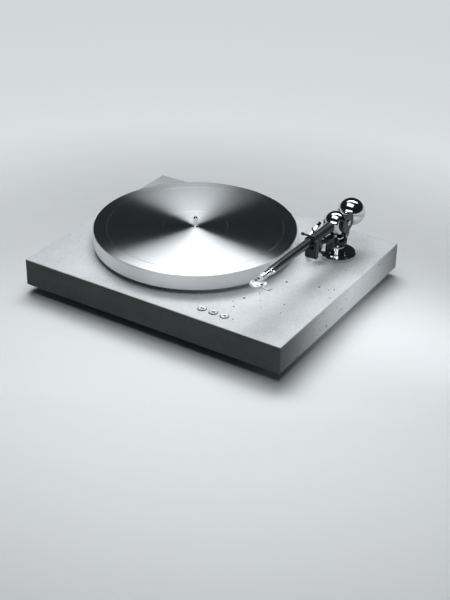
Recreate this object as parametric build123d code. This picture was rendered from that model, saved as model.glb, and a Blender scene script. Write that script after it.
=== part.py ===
from build123d import *
import os
from math import cos, hypot, radians, sin

# A belt-driven record player: a cast concrete plinth on four feet, a solid aluminium platter and a
# tonearm whose bearing housing and counterweight are two polished balls.
# All lengths are in millimetres. +Z is up, the front faces -Y, and the origin is on the table,
# under the middle of the plinth.

# Clearances that pieces share
seat_gap = 0.02  # radial, where a fixed piece sits in its bore
running_gap = 0.04  # radial, where a piece turns or slides in its bore
free_gap = 0.3  # between pieces that pass each other
overrun = 1  # how far a cutting tool runs past the face it cuts

# Plinth
plinth_wide = 454
plinth_deep = 370
plinth_high = 44
plinth_bevel = 0.8
plinth_skin = 8  # concrete left over the pockets
foot_high = 12
deck = foot_high + plinth_high
channel_wide = 8
channel_deep = 8
channel_x = 66  # the main wire channel runs front to back here

# Bottom plate, let into the underside of the plinth
plate_thick = 2
plate_inset = 14
plate_edge_gap = 0.4
plate_corner = 6
plate_screw_inset = 10
vent_count = 5
vent_long = 28
vent_wide = 2.4
vent_pitch = 6

# Feet
foot_radius = 24
foot_waist_radius = 20
foot_lip = 3
foot_from_side = 60
foot_from_front = 54
stud_radius = 4
stud_long = 18
pad_radius = 20
pad_thick = 2.5
pad_sunk = 1

# Screws: shank radius, head radius and length of each kind
plate_screw = (2, 3.8, 10)
housing_screw = (2, 3.8, 14)
motor_screw = (1.5, 2.9, 9)
panel_screw = (1.25, 2.4, 8)
cheek_screw = (0.8, 1.5, 6)
ring_start = 90  # degrees, where a ring of holes starts
socket_share = 0.42  # a screw's hexagon socket against its head
socket_deep_share = 0.5  # and how deep it goes into the head's cone

# Main bearing, its middle measured from the plinth's left and front faces
spindle_from_left = 187
spindle_from_front = 191
flange_radius = 28
flange_thick = 4
flange_screws = 3
flange_screw_circle = 21
housing_radius = 14
housing_long = 38
housing_floor = 3
bush_wall = 3
bush_long = 9
thrust_ball_radius = 3.5
shaft_radius = 5

# Platter
platter_radius = 160
platter_thick = 24.7
platter_gap = 6  # between the deck and the platter
platter_bevel = 0.9
groove_radius = 139
groove_wide = 0.9
groove_deep = 0.5
dish_radius = 51  # the shallow dish for a record's label
dish_deep = 0.3
spindle_radius = 3.6
spindle_high = 14
spindle_tip_high = 3
spindle_tip_radius = 0.8
sub_platter_radius = 100
sub_platter_gap = 1.2  # above the deck
sub_platter_crown = 0.5

# Motor, placed from the spindle
motor_away = 118
motor_turn = 140  # degrees, counterclockwise from the right
motor_radius = 18
motor_long = 30
motor_bevel = 1.5
motor_plate_radius = 30
motor_plate_thick = 3
motor_plate_screws = 3
motor_plate_screw_circle = 25.5
motor_can_screw_circle = 10
motor_boss_radius = 5
motor_shaft_radius = 1.5
motor_shaft_deep = 9
motor_room = 3  # around the motor in its pocket
pulley_radius = 8
pulley_flange = 0.9
pulley_flange_thick = 0.7
pulley_high = 4.3
belt_wide = 2.6
belt_thick = 0.6

# Push buttons and the light beside them
button_names = ("button_33", "button_45", "button_stop")
button_first_from_right = 147.6
button_pitch = 19
button_from_front = 28
button_radius = 5.9
button_rise = 1.3
button_travel = 0.9
button_long = 10
button_bevel = 0.4
button_dish = 0.25
sleeve_wall = 0.7
sleeve_rim = 0.3
sleeve_rim_high = 0.3
sleeve_long = 9
led_from_last = 14.5
led_radius = 1.5
led_rise = 0.4

# Control board under the buttons
board_deep = 26
board_thick = 1.6
board_margin = 13  # past the first button and past the light
switch_side = 6
switch_high = 4
switch_gap = 0.4  # left under a button that is pressed all the way
post_radius = 2.5
post_inset = 4
board_room = 2

# Sockets in a niche in the back
niche_x = 66
niche_wide = 112
niche_high = 28
niche_deep = 14
niche_rise = 8  # above the underside of the plinth
panel_thick = 2
panel_gap = 0.3
socket_pocket_deep = 16
socket_pocket_margin = 5
jack_spacing = 20
jack_from_middle = -38
jack_radius = 4.1
jack_long = 9
jack_flange_radius = 6
jack_flange_thick = 1.5
jack_hole_radius = 1.65
jack_hole_deep = 7
tail_radius = 3.2
tail_long = 9
ground_from_middle = 6
ground_stud_radius = 2
ground_nut_radius = 4.6
ground_nut_high = 5
ground_grips = 12
ground_grip_radius = 0.45
inlet_from_middle = 38
inlet_radius = 5.6
inlet_hole_radius = 2.75
inlet_pin_radius = 1.05
inlet_long = 3
inlet_deep = 9
panel_screw_inset = 6

# Tonearm: its vertical pivot from the spindle, and how far it is turned in from straight ahead
pivot_right = 204
pivot_behind = 93
rest_turn = 2  # degrees
arm_way = 270  # degrees, the way the arm points from the pivot
arm_height = 60  # of the arm's axis above the deck
arm_base_radius = 29
arm_base_high = 7
arm_base_bevel = 1.2
arm_base_step = 1
arm_base_step_radius = 22
pillar_radius = 8.75
pillar_top = 33.6  # above the deck
shank_radius = 8
nut_high = 8
nut_across = 24
nut_pocket_radius = 17
shank_below_nut = 2
pillar_bore_radius = 6.5
bearing_high = 5
bearing_inset = 2.4
collar_radius = 11.5
collar_low = 11
collar_high = 7
collar_bevel = 0.8

# Yoke that turns on the pillar
bridge_low = 34
bridge_high = 6.5
bridge_half = 11.8
bridge_deep = 18
bridge_corner = 5
yoke_shaft_radius = 3
cheek_radius = 16.5
inner_cheek_radius = 10  # the left one, inside the front ball
cheek_thick = 3.8
cheek_edge = 1.2
cheek_leg_wide = 12
pivot_screw_radius = 2.5
pivot_cap_radius = 4.2
pivot_cap_high = 1.8
pivot_cap_bevel = 0.4
pivot_pin_radius = 1.2
pivot_pin_long = 3.2
cap_slot_wide = 1
cap_slot_deep = 0.8

# Front ball, the tilting bearing housing
front_ball_radius = 19
front_ball_ahead = 12
ball_socket_deep = 3

# Rear stub and the counterweight that slides on it
stub_radius = 4
stub_in_ball = 3.5
stub_end = 52  # behind the pivot
weight_radius = 22
weight_behind = 36.5
weight_bore_past = 3
weight_screw_radius = 1.5
weight_screw_long = 8
weight_screw_sunk = 0.6

# Arm wand
boss_radius = 8
boss_front_radius = 7.6
boss_front = 84  # ahead of the pivot, like the stations below
collar_wand_radius = 8.8
collar_wand_long = 7
collar_wand_bevel = 0.6
spigot_radius = 5
spigot_long = 12
wand_radius = 7
wand_front_radius = 5.8
wand_bore_radius = 4
knob_bar_radius = 1.6
knob_bar_height = 9  # above the arm's axis
knob_bar_left = 11
knob_bar_right = 7.5
knob_head_radius = 2.3
knob_head_long = 4.5
knob_head_fillet = 1
neck_ring_long = 6
neck_ring_radius = 5.4
neck_plug_long = 10
neck_radius = 4.6
neck_long = 29
clamp_radius = 1.9
clamp_out = 8.4
clamp_in = 3.4

# Headshell, turned towards the platter
headshell_turn = 23  # degrees
headshell_middle = 232
neck_behind_middle = 8  # how far behind the plate's middle the neck ends
headshell_right = 1
headshell_long = 22
headshell_wide = 20
headshell_thick = 2.6
headshell_corner = 3
headshell_nose = 5
headshell_below = 3.6  # the plate's top under the arm's axis
cartridge_spacing = 12.7
cartridge_hole_radius = 1.35
cartridge_ahead = 4.5  # of the plate's middle
socket_long = 9
socket_radius = 5.6
finger_rod_radius = 1.1
finger_out = 12
finger_tip_out = 6
finger_tip_rise = 3
finger_bend_radius = 5
finger_back = 1.5  # of the plate's middle

# Bracket on the pillar that carries the rest and the lift
bracket_low = 22
bracket_high = 6
bracket_ring_wall = 5.2
riser_start = 21  # ahead of the pivot
riser_long = 7
bar_low = 36
bar_high = 6
bar_wide = 10
bracket_corner = 2
bracket_slot = 1.2
lug_long = 6
lug_wide = 8
clamp_bolt_radius = 1.5
clamp_head_radius = 2.6
clamp_head_high = 2.4
rest_station = 88
rest_deep = 9
rest_post_wide = 4.6
rest_post_gap = 0.5
rest_post_top = 65
rest_seat_left = 6
rest_corner = 1.5
rest_foot_thick = 2
rest_foot_past_screw = 5
rest_screw_station = 72
rest_screw_radius = 1.5
rest_screw_long = 6
rest_screw_head_radius = 3.8
rest_screw_head_high = 3
thumb_radius = 6
thumb_high = 3
thumb_stem_radius = 4.2
thumb_stem_long = 5.5
thumb_stem_bevel = 0.6
thumb_shank_radius = 2
thumb_in_rest = 4
thumb_grips = 20
thumb_grip_radius = 0.5

# Dial beside the bar that sets the side force on the arm
dial_right = 9.6
dial_station = 65
dial_radius = 4.2
dial_high = 12.5
dial_bevel = 0.6
dial_grips = 16
dial_grip_radius = 0.4
dial_grip_share = 0.6  # of the dial's height
dial_lug_thick = 3
dial_shank_radius = 1.5

# Lift that raises the arm
lift_away = 41.6
lift_turn = 35.2  # degrees, from the arm towards the platter
lift_ring_radius = 7.5
lift_cylinder_radius = 5
lift_cylinder_top = 42
lift_cylinder_bevel = 0.8
lift_rod_radius = 2
lift_rod_low = 24
lift_bar_radius = 1.6
lift_bar_start = -7
lift_bar_end = 50
lift_drop = 4  # the bar's top under the boss at rest
lever_height = 37
lever_hub_radius = 4
lever_thick = 3
lever_pin_radius = 1.4
lever_pin_long = 2.2
lever_back = 20
lever_up = 8
lever_wide = 4
grip_radius = 2.8
grip_long = 9
grip_bevel = 0.6

# Places worked out from the sizes above
spindle_x = spindle_from_left - plinth_wide / 2
spindle_y = spindle_from_front - plinth_deep / 2
pivot_x = spindle_x + pivot_right
pivot_y = spindle_y + pivot_behind
motor_x = spindle_x + motor_away * cos(radians(motor_turn))
motor_y = spindle_y + motor_away * sin(radians(motor_turn))
button_y = button_from_front - plinth_deep / 2
button_xs = [plinth_wide / 2 - button_first_from_right + button_pitch * n for n in range(3)]
led_x = button_xs[-1] + led_from_last
arm_z = deck + arm_height
platter_low = deck + platter_gap
platter_top = platter_low + platter_thick
ceiling = foot_high + plate_thick  # where the bottom plate lies against the concrete
neck_front = headshell_middle - neck_behind_middle
wand_front = neck_front - neck_long
lift_x = -lift_away * sin(radians(lift_turn))
lift_y = -lift_away * cos(radians(lift_turn))


def rod(radius, low, high, x=0, y=0):
    """A round bar standing between two heights."""
    return Pos(x, y, (low + high) / 2) * Cylinder(radius, high - low)


def block(wide, deep, low, high, x=0, y=0):
    """A box standing between two heights, around a place."""
    return Pos(x, y, (low + high) / 2) * Box(wide, deep, high - low)


def span(left, right, front, back, low, high):
    """A box between six planes."""
    return block(right - left, back - front, low, high, (left + right) / 2, (front + back) / 2)


def turned(points):
    """A solid turned about +Z from a closed outline of radius and height pairs."""
    outline = Plane.XZ * Polyline(*points, close=True)
    return revolve(make_face(outline), Axis.Z)


def along_arm(near_radius, near, far, far_radius=None):
    """A round bar on the arm's axis between two distances ahead of the pivot."""
    far_radius = near_radius if far_radius is None else far_radius
    spot = Pos(0, -(near + far) / 2, arm_z) * Rot(X=90)
    if far_radius == near_radius:
        return spot * Cylinder(near_radius, far - near)
    return spot * Cone(near_radius, far_radius, far - near)


def across_arm(radius, left, right, ahead=0, height=0):
    """A round bar lying left to right, at a distance ahead of the pivot and above the arm's axis."""
    return Pos((left + right) / 2, -ahead, arm_z + height) * Rot(Y=90) * Cylinder(radius, right - left)


def on_arm(shape):
    """Move a shape from the arm's own frame, which faces straight ahead, to the arm at rest."""
    return Location((pivot_x, pivot_y, 0), (0, 0, -rest_turn)) * shape


def screw(sizes, grow=0):
    """A countersunk screw hanging from its flat head at the origin. With grow it is the screw's hole."""
    shank, head, long = sizes
    cone = head - shank
    body = Pos(0, 0, -cone / 2) * Cone(shank + grow, head + grow, cone)
    body += Pos(0, 0, -(long + grow) / 2) * Cylinder(shank + grow, long + grow)
    if grow:
        return body
    socket = RegularPolygon(head * socket_share, 6)
    return body - extrude(socket, -cone * socket_deep_share)


def screws(sizes, places, grow=0, upward=False):
    """The same screw at each place. Upward screws have their heads below."""
    flip = Rot(X=180) if upward else Rot(X=0)
    return [Location(place) * flip * screw(sizes, grow) for place in places]


def ring_places(count, radius, x, y, z, start=ring_start):
    """Evenly spaced places on a level circle."""
    turns = [radians(start + 360 * n / count) for n in range(count)]
    return [(x + radius * cos(turn), y + radius * sin(turn), z) for turn in turns]


def plate_screw_places():
    """Three screws along the front and the back of the bottom plate and one at each side."""
    far_x = plinth_wide / 2 - plate_inset - plate_screw_inset
    far_y = plinth_deep / 2 - plate_inset - plate_screw_inset
    rows = [(x, y, foot_high) for x in (-far_x, 0, far_x) for y in (-far_y, far_y)]
    return rows + [(-far_x, 0, foot_high), (far_x, 0, foot_high)]


def foot_places():
    """The middles of the four feet."""
    far_x = plinth_wide / 2 - foot_from_side
    far_y = plinth_deep / 2 - foot_from_front
    return [(x, y) for x in (-far_x, far_x) for y in (-far_y, far_y)]


def housing_screw_places():
    return ring_places(flange_screws, flange_screw_circle, spindle_x, spindle_y, deck)


def motor_plate_screw_places():
    return ring_places(motor_plate_screws, motor_plate_screw_circle, motor_x, motor_y, deck)


def motor_can_screw_places():
    return ring_places(2, motor_can_screw_circle, motor_x, motor_y, deck, start=0)


def board_edges():
    """Left, right, front and back of the control board."""
    left = button_xs[0] - board_margin
    right = led_x + board_margin
    return left, right, button_y - board_deep / 2, button_y + board_deep / 2


def niche_middle():
    """Height of the middle of the niche in the back."""
    return foot_high + niche_rise + niche_high / 2


def niche_wall():
    """How far back the niche's inner wall is."""
    return plinth_deep / 2 - niche_deep


def make_plinth():
    """The cast block with its bores, the pockets and wire channels below and the niche behind."""
    body = block(plinth_wide, plinth_deep, foot_high, deck)
    body = chamfer(body.edges(), plinth_bevel)
    rebate_x = plinth_wide / 2 - plate_inset
    rebate_y = plinth_deep / 2 - plate_inset
    body -= span(-rebate_x, rebate_x, -rebate_y, rebate_y, foot_high - overrun, ceiling)

    # Main bearing
    body -= rod(flange_radius + seat_gap, deck - flange_thick, deck + overrun, spindle_x, spindle_y)
    body -= rod(housing_radius + seat_gap, ceiling - overrun, deck, spindle_x, spindle_y)

    # Motor
    body -= rod(motor_plate_radius + seat_gap, deck - motor_plate_thick, deck + overrun, motor_x, motor_y)
    body -= rod(motor_radius + motor_room, ceiling - overrun, deck, motor_x, motor_y)

    # Buttons, light and control board
    for x in button_xs:
        sleeve = button_radius + running_gap + sleeve_wall
        body -= rod(sleeve + seat_gap, ceiling, deck + overrun, x, button_y)
    body -= rod(led_radius + seat_gap, ceiling, deck + overrun, led_x, button_y)
    left, right, front, back = board_edges()
    body -= span(left - board_room, right + board_room, front - board_room, back + board_room,
                 ceiling - overrun, deck - plinth_skin)

    # Tonearm
    body -= rod(shank_radius + seat_gap, ceiling, deck + overrun, pivot_x, pivot_y)
    nut_top = ceiling + shank_below_nut + nut_high
    body -= rod(nut_pocket_radius, ceiling - overrun, nut_top, pivot_x, pivot_y)

    # Wire channels
    channel_top = ceiling + channel_deep
    half = channel_wide / 2
    body -= span(channel_x - half, channel_x + half, front, niche_wall(), ceiling - overrun, channel_top)
    body -= span(channel_x - half, right, button_y - half, button_y + half, ceiling - overrun, channel_top)
    body -= span(motor_x, channel_x, motor_y - half, motor_y + half, ceiling - overrun, channel_top)
    body -= span(channel_x, pivot_x, pivot_y - half, pivot_y + half, ceiling - overrun, channel_top)

    # Niche for the sockets and the pocket behind their panel
    low = niche_middle() - niche_high / 2
    high = niche_middle() + niche_high / 2
    body -= span(niche_x - niche_wide / 2, niche_x + niche_wide / 2, niche_wall(),
                 plinth_deep / 2 + overrun, low, high)
    inner = niche_wide / 2 - socket_pocket_margin - panel_screw_inset
    body -= span(niche_x - inner, niche_x + inner, niche_wall() - socket_pocket_deep, niche_wall() + overrun,
                 low + socket_pocket_margin, high - socket_pocket_margin)
    body -= span(channel_x - half, channel_x + half, niche_wall() - socket_pocket_deep, niche_wall(),
                 ceiling - overrun, niche_middle())

    # Screw holes and foot holes
    holes = screws(plate_screw, plate_screw_places(), seat_gap, upward=True)
    holes += screws(housing_screw, housing_screw_places(), seat_gap)
    holes += screws(motor_screw, motor_plate_screw_places(), seat_gap)
    holes += [Location(place) * Rot(X=-90) * screw(panel_screw, seat_gap) for place in panel_screw_places()]
    for hole in holes:
        body -= hole
    for x, y in foot_places():
        body -= rod(stud_radius + seat_gap, foot_high, ceiling + stud_long, x, y)
    return body


def make_bottom_plate():
    """A sheet with rounded corners, screw and foot holes and a row of vents under the motor."""
    wide = plinth_wide - 2 * (plate_inset + plate_edge_gap)
    deep = plinth_deep - 2 * (plate_inset + plate_edge_gap)
    sheet = Pos(0, 0, foot_high) * extrude(RectangleRounded(wide, deep, plate_corner), plate_thick)
    for hole in screws(plate_screw, plate_screw_places(), seat_gap, upward=True):
        sheet -= hole
    for x, y in foot_places():
        sheet -= rod(stud_radius + seat_gap, foot_high - overrun, ceiling + overrun, x, y)
    for n in range(vent_count):
        x = motor_x + (n - (vent_count - 1) / 2) * vent_pitch
        slot = Pos(x, motor_y, foot_high - overrun) * Rot(Z=90) * SlotOverall(vent_long, vent_wide)
        sheet -= extrude(slot, plate_thick + 2 * overrun)
    return sheet


def make_feet():
    """Four turned feet, each with a waist, a recess for its pad and a stud that goes up into the plinth."""
    low = pad_thick - pad_sunk
    body = turned([
        (0, low),
        (foot_waist_radius + foot_lip / 2, low),
        (foot_radius - foot_lip / 2, low + foot_lip / 2),
        (foot_waist_radius, low + foot_lip),
        (foot_waist_radius, foot_high - foot_lip),
        (foot_radius, foot_high - foot_lip),
        (foot_radius, foot_high),
        (stud_radius, foot_high),
        (stud_radius, ceiling + stud_long - plate_thick),
        (0, ceiling + stud_long - plate_thick),
    ])
    body -= rod(pad_radius + seat_gap, low - overrun, pad_thick)
    return [Pos(x, y, 0) * body for x, y in foot_places()]


def make_foot_pads():
    """One rubber pad under each foot."""
    return [rod(pad_radius, 0, pad_thick, x, y) for x, y in foot_places()]


def make_bearing_housing():
    """A flanged cup let into the deck, bored for its two bushes."""
    low = deck - housing_long
    body = rod(flange_radius, deck - flange_thick, deck) + rod(housing_radius, low, deck)
    body -= rod(shaft_radius + bush_wall, low + housing_floor, deck + overrun)
    body = Pos(spindle_x, spindle_y, 0) * body
    for hole in screws(housing_screw, housing_screw_places(), seat_gap):
        body -= hole
    return body


def make_bushes():
    """Two bronze bushes, one at each end of the housing's bore."""
    outer = shaft_radius + bush_wall - seat_gap
    low = deck - housing_long + housing_floor + 2 * thrust_ball_radius + free_gap
    bushes = []
    for start in (low, deck - bush_long):
        bush = rod(outer, start, start + bush_long)
        bush -= rod(shaft_radius + running_gap, start - overrun, start + bush_long + overrun)
        bushes.append(Pos(spindle_x, spindle_y, 0) * bush)
    return bushes


def make_spindle():
    """The bearing shaft with its ball end, up through the platter to the thin spindle."""
    ball = deck - housing_long + housing_floor + thrust_ball_radius + running_gap
    low = ball + thrust_ball_radius / 2
    shoulder = platter_top - dish_deep
    wall_top = platter_top + spindle_high
    tip = wall_top + spindle_tip_high
    body = turned([
        (0, low),
        (shaft_radius, low),
        (shaft_radius, shoulder),
        (spindle_radius, shoulder),
        (spindle_radius, wall_top),
        (spindle_tip_radius, tip),
        (0, tip),
    ])
    body += Pos(0, 0, ball) * Sphere(thrust_ball_radius)
    return Pos(spindle_x, spindle_y, 0) * body


def make_sub_platter():
    """The disc that the belt drives, with a crowned rim that keeps the belt in the middle."""
    low = deck + sub_platter_gap
    middle = (low + platter_low) / 2
    inner = shaft_radius + seat_gap
    edge = sub_platter_radius - sub_platter_crown
    outline = Plane.XZ * (
        Polyline((edge, low), (inner, low), (inner, platter_low), (edge, platter_low))
        + ThreePointArc((edge, low), (sub_platter_radius, middle), (edge, platter_low))
    )
    return Pos(spindle_x, spindle_y, 0) * revolve(make_face(outline), Axis.Z)


def make_platter():
    """A solid aluminium disc with a fine groove near its rim and a shallow dish for the label."""
    half = groove_wide / 2
    outline = [
        (shaft_radius + seat_gap, platter_low),
        (platter_radius - platter_bevel, platter_low),
        (platter_radius, platter_low + platter_bevel),
        (platter_radius, platter_top - platter_bevel),
        (platter_radius - platter_bevel, platter_top),
        (groove_radius + half, platter_top),
        (groove_radius, platter_top - groove_deep),
        (groove_radius - half, platter_top),
        (dish_radius, platter_top),
        (dish_radius - dish_deep, platter_top - dish_deep),
        (shaft_radius + seat_gap, platter_top - dish_deep),
    ]
    return Pos(spindle_x, spindle_y, 0) * turned(outline)


def make_motor_plate():
    """The round plate that hangs the motor in its pocket."""
    low = deck - motor_plate_thick
    body = rod(motor_plate_radius, low, deck, motor_x, motor_y)
    body -= rod(motor_boss_radius, low - overrun, deck + overrun, motor_x, motor_y)
    places = motor_plate_screw_places() + motor_can_screw_places()
    for hole in screws(motor_screw, places, seat_gap):
        body -= hole
    return body


def make_motor():
    """The motor's can, with a bore for its shaft and two screw holes."""
    top = deck - motor_plate_thick
    body = rod(motor_radius, top - motor_long, top)
    body = chamfer(body.edges().group_by(Axis.Z)[0], motor_bevel)
    body -= rod(motor_shaft_radius + running_gap, top - motor_shaft_deep, top + overrun)
    body = Pos(motor_x, motor_y, 0) * body
    for hole in screws(motor_screw, motor_can_screw_places(), seat_gap):
        body -= hole
    return body


def make_pulley():
    """The drive pulley with its two flanges, on the motor's shaft."""
    low = deck + sub_platter_gap
    high = low + pulley_high
    rim = pulley_radius + pulley_flange
    body = turned([
        (0, low),
        (rim, low),
        (rim, low + pulley_flange_thick / 2),
        (pulley_radius, low + pulley_flange_thick),
        (pulley_radius, high - pulley_flange_thick),
        (rim, high - pulley_flange_thick / 2),
        (rim, high),
        (0, high),
    ])
    body += rod(motor_shaft_radius, deck - motor_plate_thick - motor_shaft_deep + free_gap, low)
    return Pos(motor_x, motor_y, 0) * body


def belt_outline(gap):
    """The shape that a belt lying that far off both pulleys encloses."""
    large = CenterArc((0, 0), sub_platter_radius + gap, 0, 360)
    small = CenterArc((motor_away, 0), pulley_radius + gap, 0, 360)
    return make_hull([large.edge(), small.edge()])


def make_belt():
    """A flat belt round the sub-platter and the pulley, its two straight runs just off both."""
    middle = deck + sub_platter_gap + pulley_high / 2
    loop = belt_outline(free_gap + belt_thick) - belt_outline(free_gap)
    body = extrude(loop, belt_wide)
    return Location((spindle_x, spindle_y, middle - belt_wide / 2), (0, 0, motor_turn)) * body


def make_button(x):
    """A slightly dished metal button."""
    top = deck + button_rise
    body = rod(button_radius, top - button_long, top)
    body = chamfer(body.edges().group_by(Axis.Z)[-1], button_bevel)
    rim = button_radius - 2 * button_bevel
    bowl = (rim ** 2 + button_dish ** 2) / (2 * button_dish)
    body -= Pos(0, 0, top - button_dish + bowl) * Sphere(bowl)
    return Pos(x, button_y, 0) * body


def make_sleeves():
    """The guide sleeve of each button, with a thin rim on the deck."""
    inner = button_radius + running_gap
    outer = inner + sleeve_wall
    sleeves = []
    for x in button_xs:
        sleeve = rod(outer, deck - sleeve_long, deck + sleeve_rim_high, x, button_y)
        sleeve += rod(outer + sleeve_rim, deck, deck + sleeve_rim_high, x, button_y)
        sleeve -= rod(inner, deck - sleeve_long - overrun, deck + overrun, x, button_y)
        sleeves.append(sleeve)
    return sleeves


def board_top():
    """Height of the control board's upper face, under the switches."""
    pressed = deck + button_rise - button_long - button_travel
    return pressed - switch_gap - switch_high


def make_board():
    """The control board with one switch under each button."""
    left, right, front, back = board_edges()
    top = board_top()
    body = span(left, right, front, back, top - board_thick, top)
    for x in button_xs:
        body += block(switch_side, switch_side, top, top + switch_high, x, button_y)
    return body


def make_board_posts():
    """Spacers that hang the board from the ceiling of its pocket."""
    left, right, front, back = board_edges()
    posts = []
    for x in (left + post_inset, right - post_inset):
        for y in (front + post_inset, back - post_inset):
            posts.append(rod(post_radius, board_top(), deck - plinth_skin, x, y))
    return posts


def make_led():
    """The light: a clear rod from the board up to the deck."""
    body = rod(led_radius, board_top(), deck + led_rise, led_x, button_y)
    return fillet(body.edges().group_by(Axis.Z)[-1], led_rise)


def panel_screw_places():
    """One screw at each end of the socket panel."""
    face = niche_wall() + panel_thick
    away = niche_wide / 2 - panel_screw_inset
    return [(niche_x - away, face, niche_middle()), (niche_x + away, face, niche_middle())]


def facing_back(shape, from_middle):
    """Turn a shape drawn upright to face the back, at a place on the socket panel."""
    return Pos(niche_x + from_middle, niche_wall() + panel_thick, niche_middle()) * Rot(X=-90) * shape


def make_panel():
    """The socket panel with a hole for each socket."""
    wide = niche_wide / 2 - panel_gap
    high = niche_high / 2 - panel_gap
    body = span(niche_x - wide, niche_x + wide, niche_wall(), niche_wall() + panel_thick,
                niche_middle() - high, niche_middle() + high)
    holes = [
        (jack_from_middle, tail_radius),
        (jack_from_middle + jack_spacing, tail_radius),
        (ground_from_middle, ground_stud_radius),
        (inlet_from_middle, inlet_radius),
    ]
    for from_middle, radius in holes:
        body -= facing_back(Cylinder(radius + seat_gap, 4 * panel_thick), from_middle)
    for place in panel_screw_places():
        body -= Location(place) * Rot(X=-90) * screw(panel_screw, seat_gap)
    return body


def make_jacks():
    """Two signal sockets: a barrel with a contact hole, a flange and a tail behind the panel."""
    body = rod(jack_flange_radius, 0, jack_flange_thick)
    body += rod(jack_radius, 0, jack_long)
    body += rod(tail_radius, -tail_long, 0)
    body -= rod(jack_hole_radius, jack_long - jack_hole_deep, jack_long + overrun)
    return [facing_back(body, jack_from_middle + n * jack_spacing) for n in range(2)]


def make_ground_post():
    """The earth terminal: a stud with a gripped nut."""
    body = rod(ground_nut_radius, 0, ground_nut_high)
    for x, y, _ in ring_places(ground_grips, ground_nut_radius, 0, 0, 0):
        body -= rod(ground_grip_radius, -overrun, ground_nut_high + overrun, x, y)
    body += rod(ground_stud_radius, -tail_long, ground_nut_high + panel_thick)
    return facing_back(body, ground_from_middle)


def make_inlet():
    """The power socket: a round hole with a pin in the middle."""
    body = rod(inlet_radius, -tail_long, inlet_long)
    body -= rod(inlet_hole_radius, inlet_long - inlet_deep, inlet_long + overrun)
    body += rod(inlet_pin_radius, inlet_long - inlet_deep, inlet_long - overrun)
    return facing_back(body, inlet_from_middle)


def make_arm_base():
    """The round plate under the tonearm, with a low step."""
    high = deck + arm_base_high
    body = rod(arm_base_radius, deck, high - arm_base_step)
    body = chamfer(body.edges().group_by(Axis.Z)[-1], arm_base_bevel)
    body += rod(arm_base_step_radius, high - arm_base_step, high)
    body -= rod(shank_radius + seat_gap, deck - overrun, high + overrun)
    return on_arm(body)


def make_pillar():
    """The hollow pillar and the shank that clamps it to the plinth."""
    base_top = deck + arm_base_high
    top = deck + pillar_top
    body = rod(pillar_radius, base_top, top) + rod(shank_radius, ceiling + panel_gap, base_top)
    body -= rod(pillar_bore_radius, base_top - bearing_high - bearing_inset, top + overrun)
    return on_arm(body)


def make_arm_nut():
    """The hexagon nut that pulls the pillar down from below."""
    low = ceiling + shank_below_nut
    nut = Pos(0, 0, low) * extrude(RegularPolygon(nut_across / 2, 6, major_radius=False), nut_high)
    nut -= rod(shank_radius + seat_gap, low - overrun, low + nut_high + overrun)
    return on_arm(nut)


def make_height_collar():
    """The polished ring low on the pillar that locks the arm's height."""
    low = deck + collar_low
    body = rod(collar_radius, low, low + collar_high)
    body = chamfer(body.edges(), collar_bevel)
    body -= rod(pillar_radius + seat_gap, low - overrun, low + collar_high + overrun)
    return on_arm(body)


def make_yaw_bearings():
    """Two bearing rings in the pillar's bore that guide the yoke's shaft."""
    outer = pillar_bore_radius - seat_gap
    inner = yoke_shaft_radius + running_gap
    low = deck + arm_base_high - bearing_high - bearing_inset
    high = deck + pillar_top - bearing_inset
    rings = []
    for start in (low, high - bearing_high):
        ring = rod(outer, start, start + bearing_high)
        ring -= rod(inner, start - overrun, start + bearing_high + overrun)
        rings.append(on_arm(ring))
    return rings


def bar_top():
    """Height of the top of the raised bar, on which the arm rest stands."""
    return deck + bar_low + bar_high


def make_bracket():
    """The bracket: a split ring, a raised bar to the rest, an ear for the lift and a lug for the dial."""
    low = deck + bracket_low
    high = low + bracket_high
    floor = deck + bar_low
    ring_radius = pillar_radius + bracket_ring_wall
    half = bar_wide / 2
    riser_front = -riser_start - riser_long
    body = rod(ring_radius, low, high)
    body += span(-half, half, riser_front, 0, low, high)
    body += span(-half, half, riser_front, -riser_start, low, bar_top())
    body += span(-half, half, -rest_station, -riser_start, floor, bar_top())
    right = collar_wand_radius + rest_post_gap + rest_post_wide
    front = -rest_station - rest_deep / 2
    end = span(-rest_seat_left, right, front, front + rest_deep, floor, bar_top())
    body += fillet(end.edges().filter_by(Axis.Z), bracket_corner)
    body += span(0, dial_right, -dial_station - dial_radius, -dial_station + dial_radius, floor,
                 floor + dial_lug_thick)
    body += rod(dial_radius, floor, floor + dial_lug_thick, dial_right, -dial_station)
    ear = Pos(lift_x / 2, lift_y / 2, (low + high) / 2) * Rot(Z=90 - lift_turn)
    body += ear * Box(lift_away, bar_wide, bracket_high)
    body += rod(lift_ring_radius, low, high, lift_x, lift_y)
    body += span(-lug_wide / 2, lug_wide / 2, 0, ring_radius + lug_long, low, high)
    body -= rod(pillar_radius + seat_gap, low - overrun, high + overrun)
    body -= span(-bracket_slot / 2, bracket_slot / 2, 0, ring_radius + lug_long + overrun,
                 low - overrun, high + overrun)
    body -= rod(lift_cylinder_radius + seat_gap, low - overrun, high + overrun, lift_x, lift_y)
    body -= rod(thumb_shank_radius + seat_gap, floor - overrun, bar_top() + overrun, 0, -rest_station)
    body -= rod(dial_shank_radius + running_gap, floor - overrun, floor + dial_lug_thick + overrun,
                dial_right, -dial_station)
    body -= rod(rest_screw_radius + seat_gap, bar_top() + rest_foot_thick - rest_screw_long - seat_gap,
                bar_top() + overrun, 0, -rest_screw_station)
    bolt = Pos(0, ring_radius + lug_long / 2, (low + high) / 2) * Rot(Y=90)
    body -= bolt * Cylinder(clamp_bolt_radius + seat_gap, 2 * lug_wide)
    return on_arm(body)


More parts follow.
